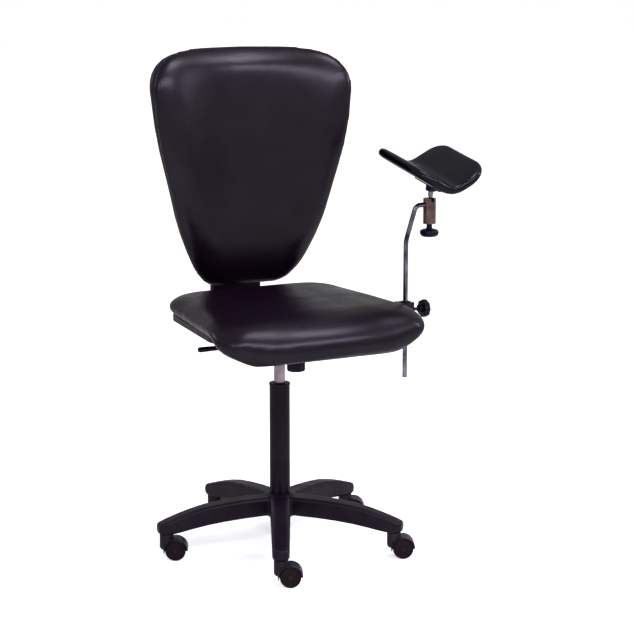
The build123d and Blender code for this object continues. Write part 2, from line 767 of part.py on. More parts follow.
def cushion_section(y, low, side, crown, full, tuck=cushion_tuck_low, bulge=side_bulge):
    """Closed section across the seat: flat below, drawn-in sides and a crowned top."""
    half = cushion_half(y)
    low = side - (side - low) * full
    crown = side + (crown - side) * full
    edge = crown - cushion_edge_drop * full
    under = half - tuck * full
    over = half - cushion_tuck_top * full
    outline = (Line((-under, low), (under, low)) + bulged((under, low), (half, side), bulge)
               + bulged((half, side), (over, edge)) + ThreePointArc((over, edge), (0, crown), (-over, edge))
               + bulged((-over, edge), (-half, side)) + bulged((-half, side), (-under, low), bulge))
    return Plane(origin=(0, y, 0), x_dir=(1, 0, 0), z_dir=(0, -1, 0)) * make_face(outline)


def make_cushion():
    """Seat cushion: its rear end, its middle and the deeper roll along the front."""
    low = cushion_low
    roll_low = low - roll_drop
    roll_wall = seat_front + roll_depth
    rear_end = []
    for share, full in end_shares:
        y = seat_rear - share * seat_corner_rear
        rear_end.append(cushion_section(y, low, cushion_side_z, cushion_crown_z, full))
    dip = front_dip / 2
    last = cushion_section(roll_wall, low, cushion_side_z - dip, cushion_crown_z - dip, 1)
    middle = [rear_end[-1]]
    for share in mid_shares:
        y = seat_rear + (roll_wall - seat_rear) * share
        middle.append(cushion_section(y, low, cushion_side_z, cushion_crown_z, 1))
    front_end = []
    for share, full in front_shares:
        y = seat_front + share * seat_corner_front
        front_end.append(cushion_section(y, roll_low, cushion_side_z - front_dip,
                                         cushion_crown_z - front_dip, full, roll_tuck, roll_bulge))
    front_end.append(cushion_section(roll_wall, roll_low + dip, cushion_side_z - dip,
                                     cushion_crown_z - dip, 1, roll_tuck, roll_bulge))
    return loft(rear_end) + loft(middle + [last], ruled=True) + loft(front_end)


def make_seat():
    shell_low = plate_top
    outer = extrude(Pos(0, 0, shell_low) * seat_outline(shell_inset, panel_front_in), shell_height)
    outer = fillet(outer.edges().group_by(Axis.Z)[0], shell_round)
    inner_inset = shell_inset + shell_wall
    inner = Pos(0, 0, shell_low + shell_wall) * seat_outline(inner_inset, panel_front_in + shell_wall)
    shell = outer - extrude(inner, shell_height)
    every_place = plate_screw_places() + bar_screw_places() + bracket_screw_places()
    for hole in screw_holes(shell_low, shell_low + shell_wall, every_place):
        shell -= hole
    save("seat_shell", shell)
    panel_low = shell_low + shell_wall
    snug = inner_inset + fit_gap
    panel = extrude(Pos(0, 0, panel_low) * seat_outline(snug, panel_front_in + shell_wall + fit_gap),
                    cushion_low - panel_low)
    for hole in screw_holes(panel_low, panel_low + screw_in - overrun, every_place):
        panel -= hole
    save("seat_panel", panel)
    save("seat_cushion", make_cushion())
    bolts = []
    grips = [(low_z, place) for low_z, places in
             ((plate_top - plate_thick, plate_screw_places()),
              (plate_top - plate_thick - bar_thick, bar_screw_places()),
              (plate_top - bracket_thick, bracket_screw_places())) for place in places]
    for under, (x, y) in grips:
        bolt = rod(screw_r, under, panel_low + screw_in, x, y)
        bolts.append(bolt + rod(screw_head_r, under - screw_head, under, x, y))
    save("panel_bolts", bolts)


def back_point(turn, offset, bow):
    """Point of a level section: angle from the middle line, and offset from the middle surface."""
    radius = back_wrap_r + offset
    return (radius * sin(turn), back_mid_y + bow - back_wrap_r + radius * cos(turn))


def back_slab(front_d, rear_d, inset, edge, rows):
    """Curved slab between two offsets of the back's middle surface; inset narrows its outline."""
    sections = []
    for up, wide, full, bow_share in rows:
        z = back_low + back_height * up
        bow = lumbar * bow_share
        middle = (front_d + rear_d) / 2
        near = middle + (front_d - middle) * full
        far = middle + (rear_d - middle) * full
        outer = asin((back_half * wide - inset) / back_wrap_r)
        corner = asin((back_half * wide - inset - edge * full) / back_wrap_r)
        spots = {key: back_point(turn, offset, bow) for key, turn, offset in
                 (("fr", corner, near), ("fl", -corner, near), ("rr", corner, far), ("rl", -corner, far),
                  ("f", 0, near), ("r", 0, far), ("er", outer, middle), ("el", -outer, middle))}
        outline = (ThreePointArc(spots["fl"], spots["f"], spots["fr"])
                   + ThreePointArc(spots["fr"], spots["er"], spots["rr"])
                   + ThreePointArc(spots["rr"], spots["r"], spots["rl"])
                   + ThreePointArc(spots["rl"], spots["el"], spots["fl"]))
        sections.append(Pos(0, 0, z) * make_face(outline))
    return loft(sections, ruled=True)


def make_back():
    cushion = back_slab(cushion_front_d, cushion_rear_d, -cushion_spread, back_edge_inset, back_shares)
    save("back_cushion", cushion)
    shell_front_d = cushion_rear_d + skin_gap
    panel_rear_d = shell_front_d + panel_thick
    inner = [(up, wide, 1, bow) for up, wide, full, bow in back_shares[2:-2]]
    save("back_panel", back_slab(shell_front_d, panel_rear_d, panel_inset, fit_gap, inner))
    shell = back_slab(shell_front_d, shell_rear_d, shell_edge_in, shell_edge_inset, back_shares)
    save("back_shell", shell - back_slab(shell_front_d - overrun, shell_rear_d - back_shell_wall,
                                         panel_inset - skin_gap, fit_gap, inner))


def make_back_bar():
    low = plate_top - plate_thick - bar_thick
    inner_y = bar_rear - bar_thick
    bar_top = guide_high + bar_above
    bar_bend_r = bar_thick + bar_bend_inside
    points = [(bar_start, low), (bar_rear, low), (bar_rear, bar_top), (inner_y, bar_top),
              (inner_y, low + bar_thick), (bar_start, low + bar_thick)]
    bar = side_profile(points, bar_half_x, {1: bar_bend_r, 4: bar_bend_inside})
    for hole in screw_holes(low, low + bar_thick, bar_screw_places()):
        bar -= hole
    save("back_bar", bar)
    cover_low = plate_top - cover_below
    cover_top = back_low + cover_above
    cover_front = bar_rear - cover_before
    cover = block(-cover_half_x, cover_half_x, cover_front, bar_rear + cover_after, cover_low, cover_top)
    cover = fillet(cover.edges().filter_by(Axis.Z), cover_round)
    cover = fillet(cover.edges().group_by(Axis.Z)[-1], cover_round / 2)
    slot_x = bar_half_x + fit_gap
    cover -= block(-slot_x, slot_x, inner_y - fit_gap, bar_rear + fit_gap, cover_low - overrun,
                   cover_top + overrun)
    bend_top = low + bar_bend_r + overrun
    cover -= block(-slot_x, slot_x, cover_front - overrun, bar_rear + fit_gap, cover_low - overrun,
                   bend_top)
    save("bar_cover", cover)
    waist = back_mid_y + shell_rear_d + lumbar * min(row[3] for row in back_shares)
    guide = block(-guide_half_x, guide_half_x, waist - guide_sink, guide_rear, guide_low, guide_high)
    guide = fillet(guide.edges().filter_by(Axis.Z), guide_round)
    guide -= back_slab(-shell_rear_d, shell_rear_d, 0, shell_edge_inset, back_shares)
    slide_x = bar_half_x + run_gap
    guide -= block(-slide_x, slide_x, inner_y - run_gap, bar_rear + run_gap, guide_low - overrun,
                   guide_high + overrun)
    mid_z = (guide_low + guide_high) / 2
    shoe_front = bar_rear + run_gap
    shoe_rear = shoe_front + shoe_thick
    guide -= rod_y_dir(shoe_r + run_gap, shoe_front - run_gap, shoe_rear + face_gap + shoe_thick, 0, mid_z)
    guide -= rod_y_dir(stud_r + run_gap, shoe_front, guide_rear + overrun, 0, mid_z)
    save("back_guide", guide)
    save("back_shoe", rod_y_dir(shoe_r, shoe_front, shoe_rear, 0, mid_z))
    head_front = guide_rear + shoe_thick + knob_back_neck
    knob = Pos(0, head_front, mid_z) * Rot(-90, 0, 0) * lobed_knob(knob_back_r, knob_back_thick, knob_round)
    knob += rod_y_dir(knob_neck_r, guide_rear + shoe_thick, head_front + knob_floor, 0, mid_z)
    knob += rod_y_dir(stud_r, shoe_rear, head_front, 0, mid_z)
    save("back_knob", knob)


def make_arm_bracket():
    low = plate_top - bracket_thick
    bracket_out = rod_x - block_in
    inner = bracket_out - bracket_thick
    top = block_z + block_half_z
    points = [(bracket_start, low), (bracket_out, low), (bracket_out, top), (inner, top),
              (inner, plate_top), (bracket_start, plate_top)]
    bends = {1: bracket_bend_inside + bracket_thick, 4: bracket_bend_inside}
    bracket = Pos(0, rod_y, 0) * front_profile(points, bracket_half_y, bends)
    for hole in screw_holes(low, plate_top, bracket_screw_places()):
        bracket -= hole
    save("arm_bracket", bracket)
    block_end = rod_x + block_out
    body = block(bracket_out, block_end, rod_y - block_half_y, rod_y + block_half_y,
                 block_z - block_half_z, top)
    body = fillet(body.edges().filter_by(Axis.Z).group_by(Axis.X)[-1], block_round)
    body -= rod(arm_bush_r + run_gap, block_z - block_half_z - overrun, top + overrun, rod_x, rod_y)
    shoe_in = rod_x + arm_bush_r + run_gap
    shoe_out = shoe_in + arm_shoe_thick
    body -= rod_x_dir(arm_shoe_r + run_gap, rod_x, shoe_out + face_gap + arm_shoe_thick, rod_y, block_z)
    body -= rod_x_dir(arm_stud_r + run_gap, rod_x, block_end + overrun, rod_y, block_z)
    save("clamp_block", body)
    bush_low = block_z - block_half_z
    bush = rod(arm_bush_r, bush_low - face_gap - bush_flange, top + face_gap + bush_flange, rod_x, rod_y)
    bush += rod(bush_flange_r, bush_low - face_gap - bush_flange, bush_low - face_gap, rod_x, rod_y)
    bush += rod(bush_flange_r, top + face_gap, top + face_gap + bush_flange, rod_x, rod_y)
    save("clamp_bush", bush - rod(arm_rod_r + run_gap, bush_low - overrun, top + overrun, rod_x, rod_y))
    shoe = rod_x_dir(arm_shoe_r, rod_x, shoe_out, rod_y, block_z)
    save("clamp_shoe", shoe - rod(arm_bush_r + run_gap, bush_low - overrun, top + overrun, rod_x, rod_y))
    neck = block_end + knob_arm_gap
    head = neck + knob_arm_neck
    knob = Pos(head, rod_y, block_z) * Rot(0, 90, 0) * lobed_knob(knob_arm_r, knob_arm_thick, knob_round)
    knob += rod_x_dir(knob_arm_neck_r, neck, head + knob_floor, rod_y, block_z)
    knob += rod_x_dir(arm_stud_r, shoe_out, head, rod_y, block_z)
    save("clamp_knob", knob)


def make_arm_rod():
    step_x = rod_x + rod_lean_out
    rod_low = block_z - rod_below
    path = FilletPolyline((rod_x, rod_y, rod_low), (rod_x, rod_y, rod_bend_z), (step_x, rod_y, rod_top_z),
                          (socket_x - socket_r + fit_gap, rod_y, rod_top_z),
                          radius=[rod_bend_low_r, rod_bend_high_r])
    bar = sweep(Plane(origin=(rod_x, rod_y, rod_low), z_dir=(0, 0, 1)) * Circle(arm_rod_r), path=path)
    barrel = rod(socket_r, socket_low, socket_high, socket_x, rod_y)
    save("arm_rod", bar - barrel)
    barrel = fillet(barrel.edges().filter_by(GeomType.CIRCLE), socket_round)
    lip_low = socket_high - lip_thick
    barrel -= rod(cup_r + run_gap, socket_low + socket_floor, lip_low, socket_x, rod_y)
    barrel -= rod(lip_r, lip_low - overrun, socket_high + overrun, socket_x, rod_y)
    barrel -= rod(socket_stud_r + run_gap, socket_low - overrun, socket_low + socket_floor + overrun,
                  socket_x, rod_y)
    barrel -= block(socket_x - slot_half, socket_x + slot_half, rod_y - socket_r - overrun, rod_y,
                    socket_high - slot_depth, socket_high + overrun)
    save("ball_socket", barrel)
    ball = Pos(socket_x, rod_y, ball_z) * Sphere(ball_r + run_gap)
    cup_low = ball_z - cup_below
    cup = rod(cup_r, cup_low, ball_z + cup_above, socket_x, rod_y) - ball
    throat = Pos(socket_x, rod_y, ball_z + cup_above / 2) * Cone(ball_r / 2, cup_r - run_gap * 2, cup_above)
    save("ball_cup", cup - throat)
    thrust_top = cup_low - fit_gap
    save("thrust_pad", rod(cup_r, thrust_top - thrust_thick, thrust_top, socket_x, rod_y))
    neck_top = socket_low - face_gap
    neck_low = neck_top - knob_socket_neck
    head = lobed_knob(knob_socket_r, knob_socket_height, knob_socket_round)
    knob = Pos(socket_x, rod_y, neck_low - knob_socket_height) * head
    knob += rod(knob_socket_neck_r, neck_low - knob_floor, neck_top, socket_x, rod_y)
    knob += rod(socket_stud_r, neck_top, thrust_top - thrust_thick - fit_gap, socket_x, rod_y)
    save("socket_knob", knob)


def pad_frame():
    """Frame at the ball's centre, leaning forward with the pad."""
    return Pos(socket_x, rod_y, ball_z) * Rot(pad_lean, 0, 0)


def pad_section(y, half, thick):
    """Section across the pad: a rounded valley between two straight wings, with round edges."""
    middle = pad_under + pad_thick / 2
    wing = radians(pad_wing)
    centre = middle + pad_valley_r
    run = (half - pad_valley_r * sin(wing)) / cos(wing)

    def spot(offset, side, out):
        radius = pad_valley_r - offset
        x = radius * sin(wing) + out * cos(wing)
        return (side * x, centre - radius * cos(wing) + out * sin(wing))

    up = thick / 2
    end = (half, centre - pad_valley_r * cos(wing) + run * sin(wing))
    inner = run - up
    outline = (Line(spot(up, -1, inner), spot(up, -1, 0))
               + ThreePointArc(spot(up, -1, 0), (0, middle + up), spot(up, 1, 0))
               + Line(spot(up, 1, 0), spot(up, 1, inner))
               + ThreePointArc(spot(up, 1, inner), end, spot(-up, 1, inner))
               + Line(spot(-up, 1, inner), spot(-up, 1, 0))
               + ThreePointArc(spot(-up, 1, 0), (0, middle - up), spot(-up, -1, 0))
               + Line(spot(-up, -1, 0), spot(-up, -1, inner))
               + ThreePointArc(spot(-up, -1, inner), (-half, end[1]), spot(up, -1, inner)))
    plane = Plane(origin=(0, y, 0), x_dir=(1, 0, 0), z_dir=(0, -1, 0))
    return plane * make_face(outline)


def make_pad():
    ball = Sphere(ball_r) + rod(stem_top_r, 0, stem_collar_low)
    ball += rod(stem_collar_r, stem_collar_low, stem_collar_high)
    stud_end = stem_collar_high + stem_stud
    ball += rod(stem_top_r, stem_collar_high, stud_end)
    save("pad_ball", pad_frame() * ball)
    plate_low = pad_under - skin_gap - pad_plate_thick
    plate = block(-pad_plate_half_x, pad_plate_half_x, -pad_plate_half_y, pad_plate_half_y,
                  plate_low, plate_low + pad_plate_thick)
    plate = fillet(plate.edges().filter_by(Axis.Z), pad_plate_round)
    boss_low = stem_collar_high + face_gap
    plate += rod(pad_boss_r, boss_low, plate_low)
    plate -= rod(stem_top_r + run_gap, boss_low - overrun, stud_end + face_gap)
    screws = []
    for x in (-pad_screw_x, pad_screw_x):
        for y in (-pad_screw_y, pad_screw_y):
            plate -= rod(pad_screw_r + screw_hole_gap, plate_low - overrun, pad_under + overrun, x, y)
            screw = rod(pad_screw_r, plate_low, pad_under + pad_screw_in, x, y)
            screws.append(screw + rod(pad_screw_head_r, plate_low - pad_screw_head, plate_low, x, y))
    save("pad_plate", pad_frame() * plate)
    sections = [pad_section(pad_back + along * pad_half_y, wide * pad_half_x, full * pad_thick)
                for along, wide, full in pad_shares]
    pad = loft(sections, ruled=True)
    for screw in screws:
        pad -= screw
    save("arm_pad", pad_frame() * pad)
    save("pad_screws", [pad_frame() * screw for screw in screws])


save("star_base", make_star_base())
save("caster_stems", make_stems())
hood = make_hood()
axle = make_axle()
wheels = [make_wheel(-1), make_wheel(1)]
for number in range(leg_count):
    place = caster_place(number)
    save("caster_{}_hood".format(number + 1), place * hood)
    save("caster_{}_axle".format(number + 1), place * axle)
    save("caster_{}_wheels".format(number + 1), [place * wheel for wheel in wheels])
make_column()
make_gas_cylinder()
make_housing()
make_tilt_plate()
make_tension()
make_lever()
make_seat()
make_back()
make_back_bar()
make_arm_bracket()
make_arm_rod()
make_pad()
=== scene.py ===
"""Looks of the blood donor chair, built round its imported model. Metres; the chair faces -Y."""
import math

import bpy
import numpy as np
from mathutils import Matrix, Vector


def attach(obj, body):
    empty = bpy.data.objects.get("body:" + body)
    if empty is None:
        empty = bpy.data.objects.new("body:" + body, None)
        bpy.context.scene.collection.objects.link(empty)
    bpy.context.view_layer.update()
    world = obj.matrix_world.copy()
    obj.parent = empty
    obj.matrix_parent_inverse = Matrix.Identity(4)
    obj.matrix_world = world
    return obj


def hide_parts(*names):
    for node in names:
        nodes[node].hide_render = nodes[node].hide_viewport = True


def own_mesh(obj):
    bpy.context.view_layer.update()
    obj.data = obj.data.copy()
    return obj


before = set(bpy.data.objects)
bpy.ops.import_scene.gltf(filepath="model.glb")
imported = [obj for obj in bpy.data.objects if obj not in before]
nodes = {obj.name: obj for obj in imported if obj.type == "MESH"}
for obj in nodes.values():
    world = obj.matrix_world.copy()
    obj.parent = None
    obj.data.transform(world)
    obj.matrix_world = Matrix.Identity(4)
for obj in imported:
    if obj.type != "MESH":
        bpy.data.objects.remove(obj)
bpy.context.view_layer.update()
WELD_DISTANCE = 0.00001


def deselect_all():
    if bpy.context.object and bpy.context.object.mode != "OBJECT":
        bpy.ops.object.mode_set(mode="OBJECT")
    bpy.ops.object.select_all(action="DESELECT")


def pick(piece):
    deselect_all()
    bpy.context.view_layer.objects.active = piece
    piece.select_set(True)
    return piece


def named(name):
    """The object that an operator has just added, under its own name."""
    piece = bpy.context.object
    piece.name = name
    piece.data.name = name
    return piece


def settle(piece, angle):
    """Moves the piece's place into its mesh, turns its faces outwards and smooths edges below an angle."""
    pick(piece)
    bpy.ops.object.transform_apply(location=True, rotation=True, scale=True)
    bpy.ops.object.mode_set(mode="EDIT")
    bpy.ops.mesh.select_all(action="SELECT")
    bpy.ops.mesh.remove_doubles(threshold=WELD_DISTANCE)
    bpy.ops.mesh.normals_make_consistent(inside=False)
    bpy.ops.object.mode_set(mode="OBJECT")
    bpy.ops.object.shade_smooth_by_angle(angle=math.radians(angle))
    return piece


def add_modifier(piece, kind, **values):
    """Adds a modifier with these values and applies it."""
    pick(piece)
    modifier = piece.modifiers.new(kind.lower(), kind)
    for key, value in values.items():
        setattr(modifier, key, value)
    bpy.ops.object.modifier_apply(modifier=modifier.name)
    return piece


def dress(piece, body, slot, material, *replaced):
    """Gives the piece its body and its finish, and hides the nodes that it stands for."""
    piece.data.materials.clear()
    piece.data.materials.append(material)
    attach(piece, body)
    if replaced:
        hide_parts(*replaced)
    return piece


def join_pieces(pieces, name):
    """Joins pieces into the first one."""
    deselect_all()
    for piece in pieces:
        piece.select_set(True)
    bpy.context.view_layer.objects.active = pieces[0]
    bpy.ops.object.join()
    return named(name)


def cut_away(piece, tools):
    """Takes the tools' volumes out of the piece and removes the tools."""
    for tool in tools:
        add_modifier(piece, "BOOLEAN", operation="DIFFERENCE", object=tool, solver="EXACT")
        bpy.data.objects.remove(tool)
    return piece


def add_box(low, high):
    """Cutting box between two corners."""
    deselect_all()
    middle = [(a + b) / 2 for a, b in zip(low, high)]
    bpy.ops.mesh.primitive_cube_add(size=1, location=middle)
    box = named("cutting_box")
    box.scale = [b - a for a, b in zip(low, high)]
    pick(box)
    bpy.ops.object.transform_apply(location=True, rotation=True, scale=True)
    return box


def turned(name, profile, segments=48):
    """Turned shape about Z: a disc drawn through (radius, height) rings."""
    deselect_all()
    radius, height = profile[0]
    bpy.ops.mesh.primitive_circle_add(vertices=segments, radius=radius, fill_type="NGON",
                                      location=(0, 0, height))
    piece = named(name)
    pick(piece)
    bpy.ops.object.transform_apply(location=True)
    bpy.ops.object.mode_set(mode="EDIT")
    bpy.ops.mesh.select_all(action="SELECT")
    for next_radius, next_height in profile[1:]:
        bpy.ops.mesh.extrude_region_move(TRANSFORM_OT_translate={"value": (0, 0, next_height - height)})
        share = next_radius / radius
        bpy.ops.transform.resize(value=(share, share, 1), center_override=(0, 0, next_height))
        radius, height = next_radius, next_height
    bpy.ops.object.mode_set(mode="OBJECT")
    return piece


def round_tool(radius, low, high, segments=48):
    """Round cutting tool about Z, between two heights."""
    return turned("round_tool", [(radius, low), (radius, high)], segments)


def turn_to(piece, direction, place):
    """Points the piece's Z along a direction and moves its origin to a place."""
    turn = Vector(direction).to_track_quat("Z", "Y").to_matrix().to_4x4()
    piece.data.transform(Matrix.Translation(place) @ turn)
    return piece


def drawn_out(name, stations):
    """Bar along X: a square face drawn through (x, middle z, height, width) stations."""
    deselect_all()
    x, z, height, width = stations[0]
    bpy.ops.mesh.primitive_plane_add(size=1, location=(x, 0, z), rotation=(0, math.pi / 2, 0))
    piece = named(name)
    piece.scale = (height, width, 1)
    pick(piece)
    bpy.ops.object.transform_apply(location=True, rotation=True, scale=True)
    bpy.ops.object.mode_set(mode="EDIT")
    bpy.ops.mesh.select_all(action="SELECT")
    for next_x, next_z, next_height, next_width in stations[1:]:
        bpy.ops.mesh.extrude_region_move(TRANSFORM_OT_translate={"value": (next_x - x, 0, next_z - z)})
        bpy.ops.transform.resize(value=(1, next_width / width, next_height / height),
                                 center_override=(next_x, 0, next_z))
        x, z, height, width = next_x, next_z, next_height, next_width
    bpy.ops.object.mode_set(mode="OBJECT")
    return piece


def copy_turned(piece, name, angle, place=(0, 0, 0)):
    """Copy with its own mesh, turned about Z and moved."""
    twin = piece.copy()
    twin.data = piece.data.copy()
    twin.name = twin.data.name = name
    bpy.context.scene.collection.objects.link(twin)
    twin.data.transform(Matrix.Translation(place) @ Matrix.Rotation(math.radians(angle), 4, "Z"))
    return twin


def smooth_step(value):
    value = np.clip(value, 0, 1)
    return value * value * (3 - 2 * value)


def round_edge(inset, wide):
    """How far a round edge of this width has risen at an inset: 0 at the rim, 1 at its width and beyond."""
    return math.sqrt(1 - (1 - min(inset, wide) / wide) ** 2)


def skin(name, rings):
    """Closed mesh over rings of points, with a pole in the middle of the first and last ring."""
    count = len(rings[0])
    points = [np.mean(rings[0], axis=0)]
    for ring in rings:
        points.extend(ring)
    points.append(np.mean(rings[-1], axis=0))
    faces = []
    for side in range(count):
        following = (side + 1) % count
        faces.append((0, 1 + following, 1 + side))
        for row in range(len(rings) - 1):
            low = 1 + row * count
            faces.append((low + side, low + following, low + count + following, low + count + side))
        last = 1 + (len(rings) - 1) * count
        faces.append((len(points) - 1, last + side, last + following))
    mesh = bpy.data.meshes.new(name)
    mesh.from_pydata([tuple(point) for point in points], [], faces)
    piece = bpy.data.objects.new(name, mesh)
    bpy.context.scene.collection.objects.link(piece)
    return settle(piece, 180)


def closed_form(name, first_insets, last_insets, ring):
    """Skin of a form with two sides; ring(first_side, inset, keep) gives one ring, drawn in by keep."""
    rings = [ring(True, first_insets[-1], keep) for keep in reversed(INNER_SHARES)]
    rings += [ring(True, inset, 1.0) for inset in reversed(first_insets)]
    rings += [ring(False, inset, 1.0) for inset in last_insets]
    rings += [ring(False, last_insets[-1], keep) for keep in INNER_SHARES]
    return skin(name, rings)


def corner_points(centre, radius, start, count):
    """Points of a quarter round, from one angle on."""
    turns = np.radians(start + np.linspace(0, 90, count))
    return [(centre[0] + radius * math.cos(t), centre[1] + radius * math.sin(t)) for t in turns]


def spread_even(outline, count):
    """The outline's points moved so that they lie at even distances along it."""
    ring = np.array(outline + outline[:1])
    steps = np.hypot(*np.diff(ring, axis=0).T)
    along = np.concatenate([[0], np.cumsum(steps)])
    wanted = np.linspace(0, along[-1], count, endpoint=False)
    return np.column_stack([np.interp(wanted, along, ring[:, 0]), np.interp(wanted, along, ring[:, 1])])


# Sizes of the rings that fill the flat middle of a form, as shares of its last ring
INNER_SHARES = [0.8, 0.6, 0.4, 0.22, 0.08]

# The seat cushion's plan: its ends, half widths and corner radii, and the bow of its front edge
SEAT_FRONT, SEAT_REAR = -0.298, 0.195
SEAT_HALF_FRONT, SEAT_HALF_REAR = 0.275, 0.236
SEAT_CORNER_FRONT, SEAT_CORNER_REAR = 0.057, 0.080
FRONT_BOW, BOW_INTO_CORNER, CORNER_SET_BACK = 0.99, 0.013, 0.0245
SEAT_CENTRE = (0.0, -0.04)
SEAT_POINTS = 128

# Its heights: side seam, underside and crown, then those of the roll along its front
SEAT_SIDE_Z, SEAT_UNDER_Z, SEAT_CROWN_Z = 0.601, 0.5815, 0.6255
ROLL_SIDE_Z, CORNER_SIDE_Z, ROLL_UNDER_Z = 0.551, 0.571, 0.518
CROWN_FALL_FRONT, CROWN_FALL_SIDE, CROWN_HALF = 0.013, 0.006, 0.27

# The roll: where it and its rise to the corners start, how far they take, and how wide its edges are round
ROLL_START, ROLL_RUN = 0.165, 0.11
CORNER_START, CORNER_RUN = 0.14, 0.11
UNDER_CORNER_START, UNDER_CORNER_RUN = 0.20, 0.07
UNDER_CORNER_SHARE, UNDER_CORNER_DROP = 0.35, 0.004
ROLL_WIDTH, ROLL_STEP = 0.058, 0.022
TOP_ROUND, TOP_ROUND_MORE = 0.058, 0.065
UNDER_ROUND, UNDER_ROUND_MORE = 0.018, 0.030


def seat_plan():
    """Outline of the seat: straight sides, a bowed front edge and round corners."""
    front_x, front_y = SEAT_HALF_FRONT - SEAT_CORNER_FRONT, SEAT_FRONT + SEAT_CORNER_FRONT + CORNER_SET_BACK
    rear_x, rear_y = SEAT_HALF_REAR - SEAT_CORNER_REAR, SEAT_REAR - SEAT_CORNER_REAR
    reach = front_x + BOW_INTO_CORNER
    front = [(x, SEAT_FRONT + FRONT_BOW - math.sqrt(FRONT_BOW ** 2 - x ** 2))
             for x in np.linspace(-reach, reach, 24)[1:-1]]
    outline = corner_points((-rear_x, rear_y), SEAT_CORNER_REAR, 90, 12)
    outline += corner_points((-front_x, front_y), SEAT_CORNER_FRONT, 180, 16)[:-2]
    outline += front
    outline += corner_points((front_x, front_y), SEAT_CORNER_FRONT, 270, 16)[2:]
    outline += corner_points((rear_x, rear_y), SEAT_CORNER_REAR, 0, 12)
    return spread_even(outline, SEAT_POINTS)


def seat_top(px, py, side_z, front, inset):
    """Height of the cushion's top: a crown that falls to the front and the sides, with a round edge."""
    crown = (SEAT_CROWN_Z - CROWN_FALL_FRONT * (max(0, -py) / -SEAT_FRONT) ** 2
             - CROWN_FALL_SIDE * (px / CROWN_HALF) ** 2)
    return side_z + (crown - side_z) * round_edge(inset, TOP_ROUND + TOP_ROUND_MORE * front)


def seat_under(x, side_z, front, inset):
    """Height of the cushion's underside: flat behind, with the roll hanging down along its front."""
    corner = UNDER_CORNER_SHARE * smooth_step((abs(x) - UNDER_CORNER_START) / UNDER_CORNER_RUN)
    low = ROLL_UNDER_Z + (SEAT_UNDER_Z - UNDER_CORNER_DROP - ROLL_UNDER_Z) * corner
    under = SEAT_UNDER_Z + (low - SEAT_UNDER_Z) * front
    under += (SEAT_UNDER_Z - under) * smooth_step((inset - ROLL_WIDTH) / ROLL_STEP)
    return side_z - (side_z - under) * round_edge(inset, UNDER_ROUND + UNDER_ROUND_MORE * front)


def seat_ring(plan, top, inset, keep):
    """One ring of the cushion at an inset from its edge, on its top or on its underside."""
    centre = np.array(SEAT_CENTRE)
    ring = []
    for x, y in plan:
        out = np.array([x, y]) - centre
        px, py = centre + out * (1 - inset / np.hypot(*out)) * keep
        front = smooth_step((-y - ROLL_START) / ROLL_RUN)
        corner = smooth_step((abs(x) - CORNER_START) / CORNER_RUN)
        roll_z = ROLL_SIDE_Z + (CORNER_SIDE_Z - ROLL_SIDE_Z) * corner
        side_z = SEAT_SIDE_Z + (roll_z - SEAT_SIDE_Z) * front
        if top:
            ring.append((px, py, seat_top(px, py, side_z, front, inset)))
        else:
            ring.append((px, py, seat_under(x, side_z, front, inset)))
    return ring


def make_seat_form():
    plan = seat_plan()
    over = [0.0, 0.002, 0.006, 0.012, 0.02, 0.03, 0.042, 0.056, 0.074, 0.095, 0.12, 0.14, 0.155]
    below = [0.0015, 0.005, 0.011, 0.018, 0.028, 0.04, 0.052, 0.06, 0.067, 0.074, 0.082, 0.1, 0.13, 0.155]
    return closed_form("seat_cushion_cover", over, below,
                       lambda top, inset, keep: seat_ring(plan, top, inset, keep))


# The back: its half width and its bow along Y, each against the height
BACK_ROWS = [(0.628, 0.084), (0.633, 0.101), (0.642, 0.116), (0.668, 0.141), (0.698, 0.159),
             (0.750, 0.183), (0.800, 0.201), (0.856, 0.216), (0.920, 0.233), (0.978, 0.2475),
             (1.040, 0.258), (1.103, 0.2635), (1.135, 0.2635), (1.155, 0.2585), (1.172, 0.250),
             (1.190, 0.234), (1.202, 0.215), (1.211, 0.190), (1.218, 0.150), (1.2215, 0.110)]
BOW_ROWS = [(0.635, 0.001), (0.672, -0.0016), (0.747, -0.0054), (0.853, -0.0058), (0.976, 0.0),
            (1.088, 0.0067), (1.135, 0.0096), (1.223, 0.016)]
BACK_FOOT_Z, BACK_TOP_Z, BACK_CENTRE_Z = 0.6265, 1.2235, 0.985
BACK_MIDDLE_Y = 0.203
WRAP_RADIUS = 0.430
BACK_POINTS = 144

# Offsets from the back's curved middle surface and the widths of the round edges that lead to them
CUSHION_FRONT, CUSHION_FRONT_ROUND = -0.038, 0.066
CUSHION_REAR, CUSHION_REAR_ROUND = 0.008, 0.013
SHELL_RIM, SHELL_FRONT, SHELL_FRONT_ROUND = 0.0105, 0.0086, 0.003
SHELL_REAR, SHELL_REAR_ROUND = 0.036, 0.032

# The rear cover lies inside the back's outline, and less so over the top, from a height and over a run
SHELL_INSET, SHELL_TOP_SHARE = 0.018, 0.6
SHELL_TOP_START, SHELL_TOP_RUN = 1.10, 0.08


def back_bow(z):
    heights, bows = zip(*BOW_ROWS)
    return float(np.interp(z, heights, bows))


def back_plan():
    """The back's outline as (distance along the curve, height), counter-clockwise from its foot."""
    right = [(WRAP_RADIUS * math.asin(w / WRAP_RADIUS), z) for z, w in BACK_ROWS]
    left = [(-a, z) for a, z in reversed(right)]
    return spread_even([(0.0, BACK_FOOT_Z)] + right + [(0.0, BACK_TOP_Z)] + left, BACK_POINTS)


def back_spot(along, z, offset):
    """Point at a distance along the back's curve, at a height and at an offset from its middle surface."""
    turn = along / WRAP_RADIUS
    radius = WRAP_RADIUS + offset
    y = BACK_MIDDLE_Y + back_bow(z) - WRAP_RADIUS + radius * math.cos(turn)
    return (radius * math.sin(turn), y, z)


